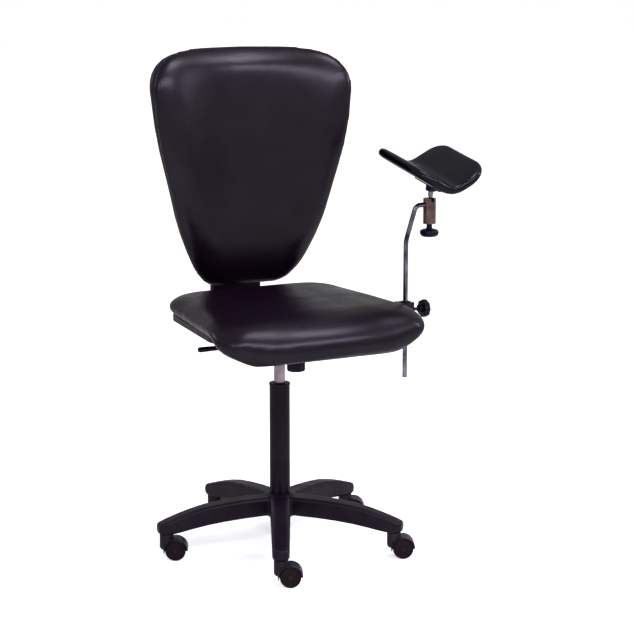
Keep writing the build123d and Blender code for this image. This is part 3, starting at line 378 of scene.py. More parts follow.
def back_ring(plan, inset, shrink, edge, full, wide, keep):
    """Ring of a back form: inset from its outline, its offset running from the edge's to the full one.

    A form that is shrunk keeps nearer to the outline at the top, where it covers the panel's edge.
    """
    centre = np.array([0.0, BACK_CENTRE_Z])
    offset = edge + (full - edge) * round_edge(inset, wide)
    ring = []
    for along, z in plan:
        out = np.array([along, z]) - centre
        taken = shrink * (1 - SHELL_TOP_SHARE * smooth_step((z - SHELL_TOP_START) / SHELL_TOP_RUN))
        pa, pz = centre + out * (1 - (inset + taken) / np.hypot(*out)) * keep
        ring.append(back_spot(pa, pz, offset))
    return ring


def make_back_form():
    """Cushion of the back: a flat middle with a deep round edge, wrapped round the sitter."""
    plan = back_plan()
    front = [0.0, 0.002, 0.005, 0.01, 0.017, 0.025, 0.035, 0.046, 0.058, 0.072, 0.09, 0.115, 0.14]
    rear = [0.001, 0.004, 0.008, 0.013, 0.02, 0.04, 0.09, 0.14]

    def ring(in_front, inset, keep):
        full, wide = (CUSHION_FRONT, CUSHION_FRONT_ROUND) if in_front else (CUSHION_REAR, CUSHION_REAR_ROUND)
        return back_ring(plan, inset, 0, 0.0, full, wide, keep)

    return closed_form("back_cushion_cover", front, rear, ring)


def make_back_shell():
    """Moulded rear cover of the back."""
    plan = back_plan()
    front = [0.0, 0.0008, 0.003, 0.02, 0.08, 0.13]
    rear = [0.001, 0.003, 0.007, 0.013, 0.02, 0.028, 0.04, 0.06, 0.09, 0.13]

    def ring(in_front, inset, keep):
        full, wide = (SHELL_FRONT, SHELL_FRONT_ROUND) if in_front else (SHELL_REAR, SHELL_REAR_ROUND)
        return back_ring(plan, inset, SHELL_INSET, SHELL_RIM, full, wide, keep)

    return closed_form("back_rear_cover", front, rear, ring)


# The arm pad, in its own frame at the centre of its ball, which shares an upright axis with the socket
ARM_X, ARM_Y = 0.3605, -0.098
BALL_CENTRE = Vector((ARM_X, ARM_Y, 0.846))
PAD_LEAN = math.radians(11)
PAD_HALF_X, PAD_HALF_Y, PAD_BACK = 0.1097, 0.118, 0.012
PAD_MIDDLE_Z, PAD_THICK = 0.0627, 0.0215
VALLEY_RADIUS, WING_TURN = 0.050, math.radians(29)
PAD_CORNER_FRONT, PAD_CORNER_REAR = 0.066, 0.040
PAD_INSETS = [0.06, 0.045, 0.032, 0.022, 0.014]
PAD_ROUND_DEGREES = [75, 55, 37, 20, 7]
PAD_POINTS = 96


def pad_spot(across, along, lift):
    """Point over the pad's middle surface: a round valley between two straight wings."""
    side = 1 if across >= 0 else -1
    bend = VALLEY_RADIUS * WING_TURN
    turn = min(abs(across) / VALLEY_RADIUS, WING_TURN)
    run = max(abs(across) - bend, 0)
    radius = VALLEY_RADIUS - lift
    x = radius * math.sin(turn) + run * math.cos(turn)
    z = PAD_MIDDLE_Z + VALLEY_RADIUS - radius * math.cos(turn) + run * math.sin(turn)
    return (side * x, along, z)


def make_pad_form():
    """Padded trough for the forearm, wide round corners in front and tighter ones behind."""
    front_x, front_y = PAD_HALF_X - PAD_CORNER_FRONT, PAD_CORNER_FRONT - PAD_HALF_Y
    rear_x, rear_y = PAD_HALF_X - PAD_CORNER_REAR, PAD_HALF_Y - PAD_CORNER_REAR
    outline = corner_points((-rear_x, rear_y), PAD_CORNER_REAR, 90, 10)
    outline += corner_points((-front_x, front_y), PAD_CORNER_FRONT, 180, 14)
    outline += corner_points((front_x, front_y), PAD_CORNER_FRONT, 270, 14)
    outline += corner_points((rear_x, rear_y), PAD_CORNER_REAR, 0, 10)
    plan = spread_even(outline, PAD_POINTS)
    half = PAD_THICK / 2
    levels = [(PAD_INSETS[0], 1, keep) for keep in reversed(INNER_SHARES)]
    levels += [(inset, 1, 1) for inset in PAD_INSETS]
    levels += [(half * (1 - math.cos(t)), math.sin(t), 1) for t in np.radians(PAD_ROUND_DEGREES)]
    rings = []
    for sign, rows in ((1, levels), (-1, reversed(levels))):
        for inset, lift, keep in rows:
            ring = []
            for across, along in plan:
                share = (1 - inset / math.hypot(across, along)) * keep
                ring.append(pad_spot(across * share, along * share + PAD_BACK, sign * lift * half))
            rings.append(ring)
    piece = skin("forearm_pad", rings)
    piece.data.transform(Matrix.Translation(BALL_CENTRE) @ Matrix.Rotation(PAD_LEAN, 4, "X"))
    return piece


# Covers are filled with air over some frames, and their swell is evened out over rounds
AIR_FRAMES = 20
EVEN_ROUNDS = 60


def even_out(mesh, values):
    """Spreads a value at each point over its neighbours, so that no crease stays in it."""
    ends = np.empty(2 * len(mesh.edges), dtype=np.int32)
    mesh.edges.foreach_get("vertices", ends)
    first, second = ends.reshape(-1, 2).T
    count = len(values)
    shared = np.maximum(np.bincount(ends, minlength=count), 1)
    for _ in range(EVEN_ROUNDS):
        total = np.bincount(first, values[second], count) + np.bincount(second, values[first], count)
        values = 0.5 * values + 0.5 * total / shared
    return values


def plump(piece, voxel, pressure, cap):
    """Fills a padded cover with air by a cloth simulation and keeps its swell square to the surface.

    The swell is evened out and stays within the cap.
    """
    add_modifier(piece, "REMESH", mode="VOXEL", voxel_size=voxel, use_smooth_shade=True)
    start = np.array([v.co for v in piece.data.vertices])
    outward = np.array([v.normal for v in piece.data.vertices])
    pick(piece)
    cloth = piece.modifiers.new("air", "CLOTH")
    cloth.settings.quality = 5
    cloth.settings.mass = 0.3
    cloth.settings.tension_stiffness = 40
    cloth.settings.compression_stiffness = 40
    cloth.settings.shear_stiffness = 20
    cloth.settings.bending_stiffness = 8
    cloth.settings.use_pressure = True
    cloth.settings.uniform_pressure_force = pressure
    cloth.settings.effector_weights.gravity = 0
    cloth.collision_settings.use_collision = False
    cloth.point_cache.frame_end = AIR_FRAMES
    for step in range(1, AIR_FRAMES + 1):
        bpy.context.scene.frame_set(step)
    bpy.ops.object.modifier_apply(modifier=cloth.name)
    bpy.context.scene.frame_set(1)
    end = np.array([v.co for v in piece.data.vertices])
    swell = even_out(piece.data, np.clip(np.sum((end - start) * outward, axis=1), -cap, cap))
    piece.data.vertices.foreach_set("co", (start + outward * swell[:, None]).ravel())
    piece.data.update()
    add_modifier(piece, "SMOOTH", factor=0.5, iterations=8)
    add_modifier(piece, "SUBSURF", levels=1, render_levels=1)
    return piece


# Star base: the legs' stations are (x, middle z, height, width) in a leg's own frame
LEG_ANGLES = [-115.7 + 72 * number for number in range(5)]
CASTER_RING = 0.290
COLUMN_BORE, STEM_BORE = 0.0251, 0.0056
LEG_STATIONS = [(0.0, 0.1105, 0.047, 0.052), (0.045, 0.1105, 0.047, 0.051), (0.1, 0.109, 0.0475, 0.0485),
                (0.15, 0.1055, 0.0475, 0.0465), (0.19, 0.101, 0.047, 0.045), (0.225, 0.0945, 0.045, 0.0435),
                (0.255, 0.0875, 0.042, 0.0425), (0.28, 0.0815, 0.038, 0.0415), (0.298, 0.0785, 0.031, 0.0405),
                (0.308, 0.078, 0.026, 0.034), (0.3115, 0.078, 0.02, 0.026)]
CHANNEL_STATIONS = [(0.066, 0.085, 0.052, 0.03), (0.16, 0.077, 0.052, 0.029), (0.21, 0.069, 0.05, 0.028),
                    (0.25, 0.06, 0.042, 0.026)]


def to_leg(piece, angle, out):
    """Turns a piece to a leg's direction, at a distance from the middle of the base."""
    piece.data.transform(Matrix.Rotation(math.radians(angle), 4, "Z") @ Matrix.Translation((out, 0, 0)))
    return piece


def make_base():
    """Star base in one moulding: legs, hub and end blocks flow into each other, with channels below."""
    leg = drawn_out("leg", LEG_STATIONS)
    add_modifier(leg, "BEVEL", width=0.008, segments=3, limit_method="ANGLE", angle_limit=math.radians(50))
    legs = [copy_turned(leg, "leg_copy", angle) for angle in LEG_ANGLES]
    bpy.data.objects.remove(leg)
    hub = turned("hub", [(0.034, 0.081), (0.0365, 0.084), (0.037, 0.131), (0.035, 0.136), (0.031, 0.139)])
    for angle in LEG_ANGLES:
        block = turned("end", [(0.019, 0.0655), (0.0202, 0.068), (0.0202, 0.084), (0.016, 0.0915)], 32)
        legs.append(to_leg(block, angle, CASTER_RING))
    base = join_pieces([hub] + legs, "moulded_base")
    add_modifier(base, "REMESH", mode="VOXEL", voxel_size=0.0022, use_smooth_shade=True)
    add_modifier(base, "SMOOTH", factor=0.5, iterations=7)
    tools = [round_tool(COLUMN_BORE, 0.02, 0.2)]
    for angle in LEG_ANGLES:
        tools.append(to_leg(drawn_out("channel", CHANNEL_STATIONS), angle, 0))
        tools.append(to_leg(round_tool(STEM_BORE, 0.04, 0.0925, 24), angle, CASTER_RING))
    cut_away(base, tools)
    return settle(base, 40)


# Casters, each in its own frame: stem at the origin, wheels trailing along +X
CASTER_TURN = -26
TRAIL = 0.022
WHEEL_RADIUS = 0.025

# The hood's two rooms for wheels, the web between them, its foot and the reach of the cutting boxes
ROOM_RADIUS, ROOM_TOP_Z, WEB_HALF, HOOD_FOOT_Z = 0.0263, 0.0265, 0.0045, 0.0198
CUT_FRONT_X, CUT_REAR_X, CUT_SIDE, CUT_LOW_Z = -0.05, 0.09, 0.05, -0.02
HOOD_BORE, HOOD_BORE_Z, HOOD_BORE_TOP_Z = 0.00555, 0.0457, 0.09


def caster_place(number):
    angle = math.radians(LEG_ANGLES[number])
    return (CASTER_RING * math.cos(angle), CASTER_RING * math.sin(angle), 0)


def make_hood():
    """Caster hood: a round guard over both wheels, in one with the boss round the stem."""
    guard = turned("guard", [(0.0265, -0.022), (0.0285, -0.0212), (0.0295, -0.019), (0.0295, 0.019),
                             (0.0285, 0.0212), (0.0265, 0.022)], 64)
    turn_to(guard, (0, 1, 0), (TRAIL, 0, WHEEL_RADIUS))
    boss = turned("boss", [(0.006, 0.0235), (0.012, 0.0245), (0.0158, 0.0275), (0.017, 0.032),
                           (0.017, 0.0615), (0.0162, 0.0638), (0.0145, 0.0646)], 48)
    hood = join_pieces([guard, boss], "hood")
    add_modifier(hood, "REMESH", mode="VOXEL", voxel_size=0.0009, use_smooth_shade=True)
    add_modifier(hood, "SMOOTH", factor=0.5, iterations=8)
    tools = []
    for side in (-1, 1):
        near, far = sorted((side * WEB_HALF, side * CUT_SIDE))
        room = round_tool(ROOM_RADIUS, near, far, 64)
        tools.append(turn_to(room, (0, 1, 0), (TRAIL, 0, WHEEL_RADIUS)))
        tools.append(add_box((-WEB_HALF, near, CUT_LOW_Z), (CUT_REAR_X, far, ROOM_TOP_Z)))
    tools.append(add_box((CUT_FRONT_X, -CUT_SIDE, CUT_LOW_Z), (CUT_REAR_X, CUT_SIDE, HOOD_FOOT_Z)))
    tools.append(round_tool(HOOD_BORE, HOOD_BORE_Z, HOOD_BORE_TOP_Z, 24))
    cut_away(hood, tools)
    return settle(hood, 40)


def make_wheel_pair():
    """Twin wheels with round treads, recessed faces and a raised hub ring."""
    profile = [(0.021, 0.005), (0.0235, 0.0052), (0.0246, 0.0062), (0.025, 0.0078), (0.025, 0.0178),
               (0.0246, 0.0196), (0.0236, 0.0207), (0.0222, 0.021), (0.0205, 0.021), (0.0197, 0.0203),
               (0.0192, 0.0196), (0.0105, 0.0192), (0.0098, 0.0199), (0.0078, 0.0202), (0.0072, 0.0196),
               (0.0055, 0.0194)]
    wheels = []
    for side in (-1, 1):
        wheel = turned("wheel", profile, 64)
        wheels.append(turn_to(wheel, (0, side, 0), (TRAIL, 0, WHEEL_RADIUS)))
    return settle(join_pieces(wheels, "wheels"), 30)


# Hand knobs: finger grooves, and the axes of the tension bolt and of the lift lever
KNOB_LOBES = 8
KNOB_DISH = 0.0012
KNOB_ROUND_STEPS = 6
TENSION_Y = -0.090
LEVER_Z = 0.5181


def lobed(piece, depth, start):
    """Presses finger grooves into the rim of a turned knob, beyond a radius."""
    widest = max(math.hypot(v.co.x, v.co.y) for v in piece.data.vertices)
    for vertex in piece.data.vertices:
        radius = math.hypot(vertex.co.x, vertex.co.y)
        turn = math.atan2(vertex.co.y, vertex.co.x)
        share = max(0, (radius - start) / (widest - start))
        groove = (0.5 - 0.5 * math.cos(turn * KNOB_LOBES)) ** 2
        vertex.co.x *= 1 - depth * share * groove
        vertex.co.y *= 1 - depth * share * groove
    return piece


def hand_knob(name, profile, direction, place, depth=0.11, start=0.014, stem=None):
    """Hand knob: a turned head with finger grooves, its neck and stud along the same axis."""
    head = turned(name, profile, 96)
    lobed(head, depth, start)
    add_modifier(head, "BEVEL", width=0.0006, segments=2, limit_method="ANGLE", angle_limit=math.radians(25))
    parts = [head]
    if stem:
        parts.append(turned("stem", stem, 48))
    head = join_pieces(parts, name)
    turn_to(head, direction, place)
    return settle(head, 40)


def knob_profile(radius, height, round_off):
    """Side of a knob's head from its face inwards: a dished face and round edges."""
    profile = [(radius * 0.30, KNOB_DISH), (radius * 0.55, KNOB_DISH * 0.8), (radius * 0.68, KNOB_DISH * 0.2),
               (radius * 0.74, 0.0)]
    low = radius - round_off
    rim = max(low, radius * 0.78)
    for turn in np.radians(np.linspace(0, 90, KNOB_ROUND_STEPS)):
        profile.append((rim + (radius - rim) * math.sin(turn), round_off * (1 - math.cos(turn))))
    for turn in np.radians(np.linspace(0, 90, KNOB_ROUND_STEPS)):
        profile.append((low + round_off * math.cos(turn), height - round_off * (1 - math.sin(turn))))
    return profile


def make_tension_knob():
    """Round knob under the seat's mechanism, bored for its bolt."""
    profile = knob_profile(0.0225, 0.025, 0.0045)
    profile += [(0.0125, 0.025), (0.012, 0.0246)]
    knob = hand_knob("tension_hand_knob", profile, (0, 0, 1), (0, TENSION_Y, 0.4635))
    bore = round_tool(0.0065, 0.4665, 0.52, 32)
    bore.data.transform(Matrix.Translation((0, TENSION_Y, 0)))
    cut_away(knob, [bore])
    return settle(knob, 40)


def make_back_knob():
    """Knob of the back's height clamp, behind the back."""
    profile = knob_profile(0.023, 0.018, 0.004)
    stem = [(0.0088, 0.0165), (0.009, 0.017), (0.009, 0.0249), (0.0086, 0.0254), (0.0049, 0.0256),
            (0.0049, 0.0405), (0.0042, 0.0415)]
    return hand_knob("back_hand_knob", profile, (0, -1, 0), (0, 0.301, 0.809), stem=stem)


def make_clamp_knob():
    """Knob of the arm rod's clamp, at the seat's side."""
    profile = knob_profile(0.022, 0.016, 0.004)
    stem = [(0.0096, 0.0148), (0.010, 0.0152), (0.010, 0.0236), (0.0095, 0.024), (0.0039, 0.0241),
            (0.0039, 0.049), (0.0034, 0.0496)]
    return hand_knob("rod_hand_knob", profile, (-1, 0, 0), (0.356, ARM_Y, 0.587), stem=stem)


def make_socket_knob():
    """Mushroom knob under the ball socket, with shallow finger grooves."""
    profile = [(0.008, 0.0), (0.0135, 0.0004), (0.0168, 0.0012), (0.0195, 0.0026), (0.0217, 0.0048),
               (0.0230, 0.0076), (0.0235, 0.0105), (0.0233, 0.0132), (0.0222, 0.0156), (0.0200, 0.0174),
               (0.0165, 0.0186), (0.0120, 0.0194), (0.0085, 0.0204), (0.0072, 0.0222), (0.0070, 0.0245),
               (0.0070, 0.0318), (0.0066, 0.0322), (0.0049, 0.0322), (0.0049, 0.0618), (0.0044, 0.0622)]
    place = (ARM_X, ARM_Y, 0.7637)
    return hand_knob("socket_hand_knob", profile, (0, 0, 1), place, depth=0.05, start=0.016)


def make_lever_grip():
    """Plastic grip over the lever's end, waisted, with a round tip."""
    profile = [(0.0022, 0.0), (0.0040, 0.0005), (0.0054, 0.0017), (0.0062, 0.0035), (0.0065, 0.006),
               (0.0066, 0.011), (0.0064, 0.024), (0.0060, 0.038), (0.0060, 0.052), (0.0063, 0.066),
               (0.0063, 0.0735), (0.0060, 0.0755), (0.0052, 0.0765)]
    grip = turned("lever_hand_grip", profile, 48)
    turn_to(grip, (1, 0, 0), (-0.215, 0, LEVER_Z))
    bore = round_tool(0.00402, 0.0, 0.09, 32)
    turn_to(bore, (1, 0, 0), (-0.2041, 0, LEVER_Z))
    cut_away(grip, [bore])
    return settle(grip, 30)


def make_spring():
    """Round wire wound into a coil between the housing and the washer."""
    wire, radius, turns, height, foot_z = 0.0017, 0.0107, 6, 0.0445, 0.4915
    deselect_all()
    bpy.ops.mesh.primitive_circle_add(vertices=12, radius=wire, location=(radius, 0, 0),
                                      rotation=(math.pi / 2, 0, 0))
    coil = named("coil_spring")
    pick(coil)
    bpy.ops.object.transform_apply(location=True, rotation=True, scale=True)
    add_modifier(coil, "SCREW", angle=2 * math.pi * turns, screw_offset=height - 2 * wire, steps=24 * turns,
                 render_steps=24 * turns, axis="Z")
    pick(coil)
    bpy.ops.object.mode_set(mode="EDIT")
    bpy.ops.mesh.select_all(action="SELECT")
    bpy.ops.mesh.fill_holes(sides=0)
    bpy.ops.object.mode_set(mode="OBJECT")
    coil.data.transform(Matrix.Translation((0, TENSION_Y, foot_z + wire)))
    return settle(coil, 40)


def new_group(name, inputs, outputs):
    """Shader node group with named inputs and outputs."""
    group = bpy.data.node_groups.new(name, "ShaderNodeTree")
    for label, kind, value in inputs:
        socket = group.interface.new_socket(label, in_out="INPUT", socket_type=kind)
        socket.default_value = value
    for label, kind in outputs:
        group.interface.new_socket(label, in_out="OUTPUT", socket_type=kind)
    enter = group.nodes.new("NodeGroupInput")
    leave = group.nodes.new("NodeGroupOutput")
    return group, enter, leave


def math_node(tree, operation, first, second):
    """Math node over two values, each a number or another node's output."""
    node = tree.nodes.new("ShaderNodeMath")
    node.operation = operation
    for socket, value in zip(node.inputs, (first, second)):
        if isinstance(value, (int, float)):
            socket.default_value = value
        else:
            tree.links.new(value, socket)
    return node.outputs[0]


def make_grain_group():
    """Pressed grain of artificial leather: pebbles with fine creases, and slow wear patches."""
    group, enter, leave = new_group(
        "leather_grain",
        [("Grain Size", "NodeSocketFloat", 900.0), ("Patch Size", "NodeSocketFloat", 14.0)],
        [("Height", "NodeSocketFloat"), ("Patches", "NodeSocketFloat")])
    place = group.nodes.new("ShaderNodeTexCoord").outputs["Object"]
    pebbles = group.nodes.new("ShaderNodeTexVoronoi")
    pebbles.feature = "SMOOTH_F1"
    pebbles.inputs["Smoothness"].default_value = 0.6
    creases = group.nodes.new("ShaderNodeTexNoise")
    creases.inputs["Detail"].default_value = 3
    patches = group.nodes.new("ShaderNodeTexNoise")
    patches.inputs["Detail"].default_value = 4
    patches.inputs["Roughness"].default_value = 0.6
    for texture, scale in ((pebbles, enter.outputs["Grain Size"]), (patches, enter.outputs["Patch Size"])):
        group.links.new(place, texture.inputs["Vector"])
        group.links.new(scale, texture.inputs["Scale"])
    group.links.new(place, creases.inputs["Vector"])
    group.links.new(math_node(group, "MULTIPLY", enter.outputs["Grain Size"], 0.45), creases.inputs["Scale"])
    height = math_node(group, "ADD", pebbles.outputs["Distance"],
                       math_node(group, "MULTIPLY", creases.outputs["Fac"], 0.7))
    group.links.new(height, leave.inputs["Height"])
    group.links.new(patches.outputs["Fac"], leave.inputs["Patches"])
    return group


def make_mould_group():
    """Fine spark texture of moulded plastic, with soft flow patches."""
    group, enter, leave = new_group(
        "mould_texture",
        [("Spark Size", "NodeSocketFloat", 1800.0), ("Patch Size", "NodeSocketFloat", 20.0)],
        [("Height", "NodeSocketFloat"), ("Patches", "NodeSocketFloat")])
    place = group.nodes.new("ShaderNodeTexCoord").outputs["Object"]
    spark = group.nodes.new("ShaderNodeTexNoise")
    spark.inputs["Detail"].default_value = 2
    patches = group.nodes.new("ShaderNodeTexNoise")
    patches.inputs["Detail"].default_value = 3
    for texture, scale in ((spark, enter.outputs["Spark Size"]), (patches, enter.outputs["Patch Size"])):
        group.links.new(place, texture.inputs["Vector"])
        group.links.new(scale, texture.inputs["Scale"])
    group.links.new(spark.outputs["Fac"], leave.inputs["Height"])
    group.links.new(patches.outputs["Fac"], leave.inputs["Patches"])
    return group


def make_polish_group():
    """Fine lines left by polishing, drawn out along one way."""
    group, enter, leave = new_group(
        "polish_lines",
        [("Line Size", "NodeSocketFloat", 60.0), ("Stretch", "NodeSocketVector", (1.0, 1.0, 0.02))],
        [("Lines", "NodeSocketFloat"), ("Smears", "NodeSocketFloat")])
    place = group.nodes.new("ShaderNodeTexCoord").outputs["Object"]
    stretch = group.nodes.new("ShaderNodeVectorMath")
    stretch.operation = "MULTIPLY"
    group.links.new(place, stretch.inputs[0])
    group.links.new(enter.outputs["Stretch"], stretch.inputs[1])
    lines = group.nodes.new("ShaderNodeTexNoise")
    lines.inputs["Detail"].default_value = 5
    smears = group.nodes.new("ShaderNodeTexNoise")
    smears.inputs["Scale"].default_value = 28
    group.links.new(stretch.outputs["Vector"], lines.inputs["Vector"])
    group.links.new(math_node(group, "MULTIPLY", enter.outputs["Line Size"], 40.0), lines.inputs["Scale"])
    group.links.new(place, smears.inputs["Vector"])
    group.links.new(lines.outputs["Fac"], leave.inputs["Lines"])
    group.links.new(smears.outputs["Fac"], leave.inputs["Smears"])
    return group


GRAIN = make_grain_group()
MOULD = make_mould_group()
POLISH = make_polish_group()

# Noise mostly lies between these values, which are spread over a material's two colours or levels
NOISE_LOW, NOISE_HIGH = 0.3, 0.7


def new_material(name, **values):
    """Material with a Principled shader; values are set on the shader's own sockets."""
    material = bpy.data.materials.new(name)
    material.use_nodes = True
    shader = material.node_tree.nodes["Principled BSDF"]
    for key, value in values.items():
        shader.inputs[key.replace("_", " ")].default_value = value
    material.diffuse_color = shader.inputs["Base Color"].default_value
    return material, material.node_tree, shader


def place_group(tree, group, **values):
    node = tree.nodes.new("ShaderNodeGroup")
    node.node_tree = group
    for key, value in values.items():
        node.inputs[key.replace("_", " ")].default_value = value
    return node


def ramp(tree, source, low, high):
    """Colour ramp from one colour to another over a changing value."""
    node = tree.nodes.new("ShaderNodeValToRGB")
    for element, place, colour in zip(node.color_ramp.elements, (NOISE_LOW, NOISE_HIGH), (low, high)):
        element.position = place
        element.color = (*colour, 1)
    tree.links.new(source, node.inputs["Fac"])
    return node.outputs["Color"]


def map_range(tree, source, source_low, source_high, low, high):
    """Maps a range of the source's values onto another range."""
    node = tree.nodes.new("ShaderNodeMapRange")
    for label, value in zip(("From Min", "From Max", "To Min", "To Max"),
                            (source_low, source_high, low, high)):
        node.inputs[label].default_value = value
    tree.links.new(source, node.inputs["Value"])
    return node.outputs["Result"]


def spread(tree, source, low, high):
    """A noise spread over a range of values."""
    return map_range(tree, source, NOISE_LOW, NOISE_HIGH, low, high)


def bump(tree, shader, height, strength, distance):
    node = tree.nodes.new("ShaderNodeBump")
    node.inputs["Strength"].default_value = strength
    node.inputs["Distance"].default_value = distance
    tree.links.new(height, node.inputs["Height"])
    tree.links.new(node.outputs["Normal"], shader.inputs["Normal"])


def make_leather(name, dark, light, rough, grain_size, sheen):
    """Black artificial leather: a fine pressed grain under a thin worn finish."""
    material, tree, shader = new_material(name, Base_Color=(*dark, 1), Roughness=rough[1],
                                          Specular_IOR_Level=0.02, Coat_IOR=4.0, Coat_Roughness=rough[0])
    grain = place_group(tree, GRAIN, Grain_Size=grain_size)
    patches = grain.outputs["Patches"]
    tree.links.new(ramp(tree, patches, dark, light), shader.inputs["Base Color"])
    tree.links.new(spread(tree, patches, rough[1], rough[0]), shader.inputs["Roughness"])
    tree.links.new(spread(tree, patches, sheen * 0.9, sheen * 1.1), shader.inputs["Coat Weight"])
    bump(tree, shader, grain.outputs["Height"], 0.16, 0.0004)
    return material


def make_plastic(name, dark, light, rough, strength=0.12, sheen=0.08):
    """Moulded plastic with a fine spark texture and a thin skin."""
    material, tree, shader = new_material(name, Base_Color=(*dark, 1), Roughness=rough[1],
                                          Specular_IOR_Level=0.02, Coat_IOR=2.0, Coat_Roughness=rough[0])
    mould = place_group(tree, MOULD)
    patches = mould.outputs["Patches"]
    tree.links.new(ramp(tree, patches, dark, light), shader.inputs["Base Color"])
    tree.links.new(spread(tree, patches, rough[1], rough[0]), shader.inputs["Roughness"])
    tree.links.new(spread(tree, patches, sheen * 0.85, sheen * 1.15), shader.inputs["Coat Weight"])
    bump(tree, shader, mould.outputs["Height"], strength, 0.0003)
    return material


def make_metal(name, dark, light, rough):
    """Polished or brushed metal with fine lines along Z."""
    material, tree, shader = new_material(name, Base_Color=(*light, 1), Roughness=rough[0], Metallic=1.0)
    polish = place_group(tree, POLISH, Stretch=(1, 1, 0.02))
    tree.links.new(ramp(tree, polish.outputs["Smears"], dark, light), shader.inputs["Base Color"])
    tree.links.new(spread(tree, polish.outputs["Lines"], *rough), shader.inputs["Roughness"])
    bump(tree, shader, polish.outputs["Lines"], 0.05, 0.0002)
    return material


def make_plywood():
    """Beech plywood with its grain along X."""
    material, tree, shader = new_material("plywood_panel", Roughness=0.6)
    polish = place_group(tree, POLISH, Line_Size=4.0, Stretch=(0.06, 1, 1))
    tree.links.new(ramp(tree, polish.outputs["Lines"], (0.42, 0.28, 0.16), (0.6, 0.44, 0.28)),
                   shader.inputs["Base Color"])
    bump(tree, shader, polish.outputs["Lines"], 0.1, 0.0003)
    return material


# Each finish: its two colours, its two roughnesses, then grain size or bump strength and coat
LEATHER = make_leather("black_upholstery", (0.0022, 0.0006, 0.0026), (0.0040, 0.0014, 0.0046),
                       (0.30, 0.44), grain_size=900.0, sheen=0.028)
PAD_SKIN = make_leather("pad_upholstery", (0.0010, 0.0009, 0.0026), (0.0018, 0.0016, 0.0042),
                        (0.24, 0.40), grain_size=1100.0, sheen=0.020)
NYLON = make_plastic("star_base_nylon", (0.0048, 0.0024, 0.0060), (0.0074, 0.0040, 0.0092),
                     (0.40, 0.52), sheen=0.06)
SHELL_PLASTIC = make_plastic("cover_plastic", (0.006, 0.0048, 0.0068), (0.0092, 0.0075, 0.0105),
                             (0.45, 0.58))
KNOB_PLASTIC = make_plastic("knob_plastic", (0.0018, 0.0016, 0.0052), (0.0030, 0.0026, 0.0080),
                            (0.3, 0.42), strength=0.06, sheen=0.045)
HOOD_PLASTIC = make_plastic("caster_hood_plastic", (0.0048, 0.0028, 0.0082), (0.0078, 0.0048, 0.0126),
                            (0.32, 0.45), sheen=0.085)
WHEEL_RUBBER = make_plastic("wheel_rubber", (0.0068, 0.0034, 0.0036), (0.0100, 0.0052, 0.0056),
                            (0.55, 0.68), sheen=0.04)
BLACK_STEEL = make_plastic("black_painted_steel", (0.0050, 0.0036, 0.0060), (0.0080, 0.0060, 0.0096),
                           (0.34, 0.46), strength=0.08, sheen=0.07)
TUBE_PAINT = make_plastic("column_paint", (0.0034, 0.0012, 0.0044), (0.0052, 0.0024, 0.0064),
                          (0.28, 0.4), strength=0.05, sheen=0.04)
CHROME = make_metal("bright_chrome", (0.024, 0.021, 0.034), (0.15, 0.14, 0.172), (0.1, 0.22))
SATIN = make_metal("satin_steel", (0.055, 0.034, 0.03), (0.19, 0.125, 0.105), (0.26, 0.4))
CYLINDER = make_metal("gas_cylinder_steel", (0.11, 0.092, 0.094), (0.19, 0.158, 0.162), (0.2, 0.34))
DARK_STEEL = make_metal("blackened_steel", (0.005, 0.0045, 0.007), (0.014, 0.0125, 0.018), (0.32, 0.46))
ZINC = make_metal("zinc_fasteners", (0.4, 0.4, 0.41), (0.55, 0.55, 0.56), (0.3, 0.45))
PLYWOOD = make_plywood()

CARRIED = {
    NYLON: ("star_base", "column_bush", "clamp_bush", "lever_bush", "ball_cup", "seat_shell"),
    SHELL_PLASTIC: ("back_shell", "bar_cover", "back_guide"),
    KNOB_PLASTIC: ("tension_knob", "back_knob", "clamp_knob", "socket_knob", "lever_grip"),
    BLACK_STEEL: ("mech_housing", "tilt_plate", "back_bar", "arm_bracket", "clamp_block"),
    TUBE_PAINT: ("column_tube",),
    CYLINDER: ("gas_cylinder",),
    CHROME: ("arm_rod", "pad_ball"),
    SATIN: ("ball_socket", "lever_rod", "piston_rod", "thrust_pad"),
    DARK_STEEL: ("pad_plate",),
    ZINC: ("thrust_bearing", "column_clip", "caster_stems", "release_pin", "tilt_pin", "tension_bolt",
           "tension_spring", "tension_washer", "panel_bolts", "back_shoe", "clamp_shoe", "pad_screws"),
    PLYWOOD: ("seat_panel", "back_panel"),
    LEATHER: ("seat_cushion", "back_cushion", "arm_pad"),
}
CASTERS = range(1, len(LEG_ANGLES) + 1)
for number in CASTERS:
    CARRIED[HOOD_PLASTIC] = CARRIED.get(HOOD_PLASTIC, ()) + (f"caster_{number}_hood",)
    CARRIED[WHEEL_RUBBER] = CARRIED.get(WHEEL_RUBBER, ()) + (f"caster_{number}_wheels",)
    CARRIED[BLACK_STEEL] += (f"caster_{number}_axle",)
for material, names in CARRIED.items():
    for name in names:
        mesh = nodes[name].data
        mesh.materials.clear()
        mesh.materials.append(material)

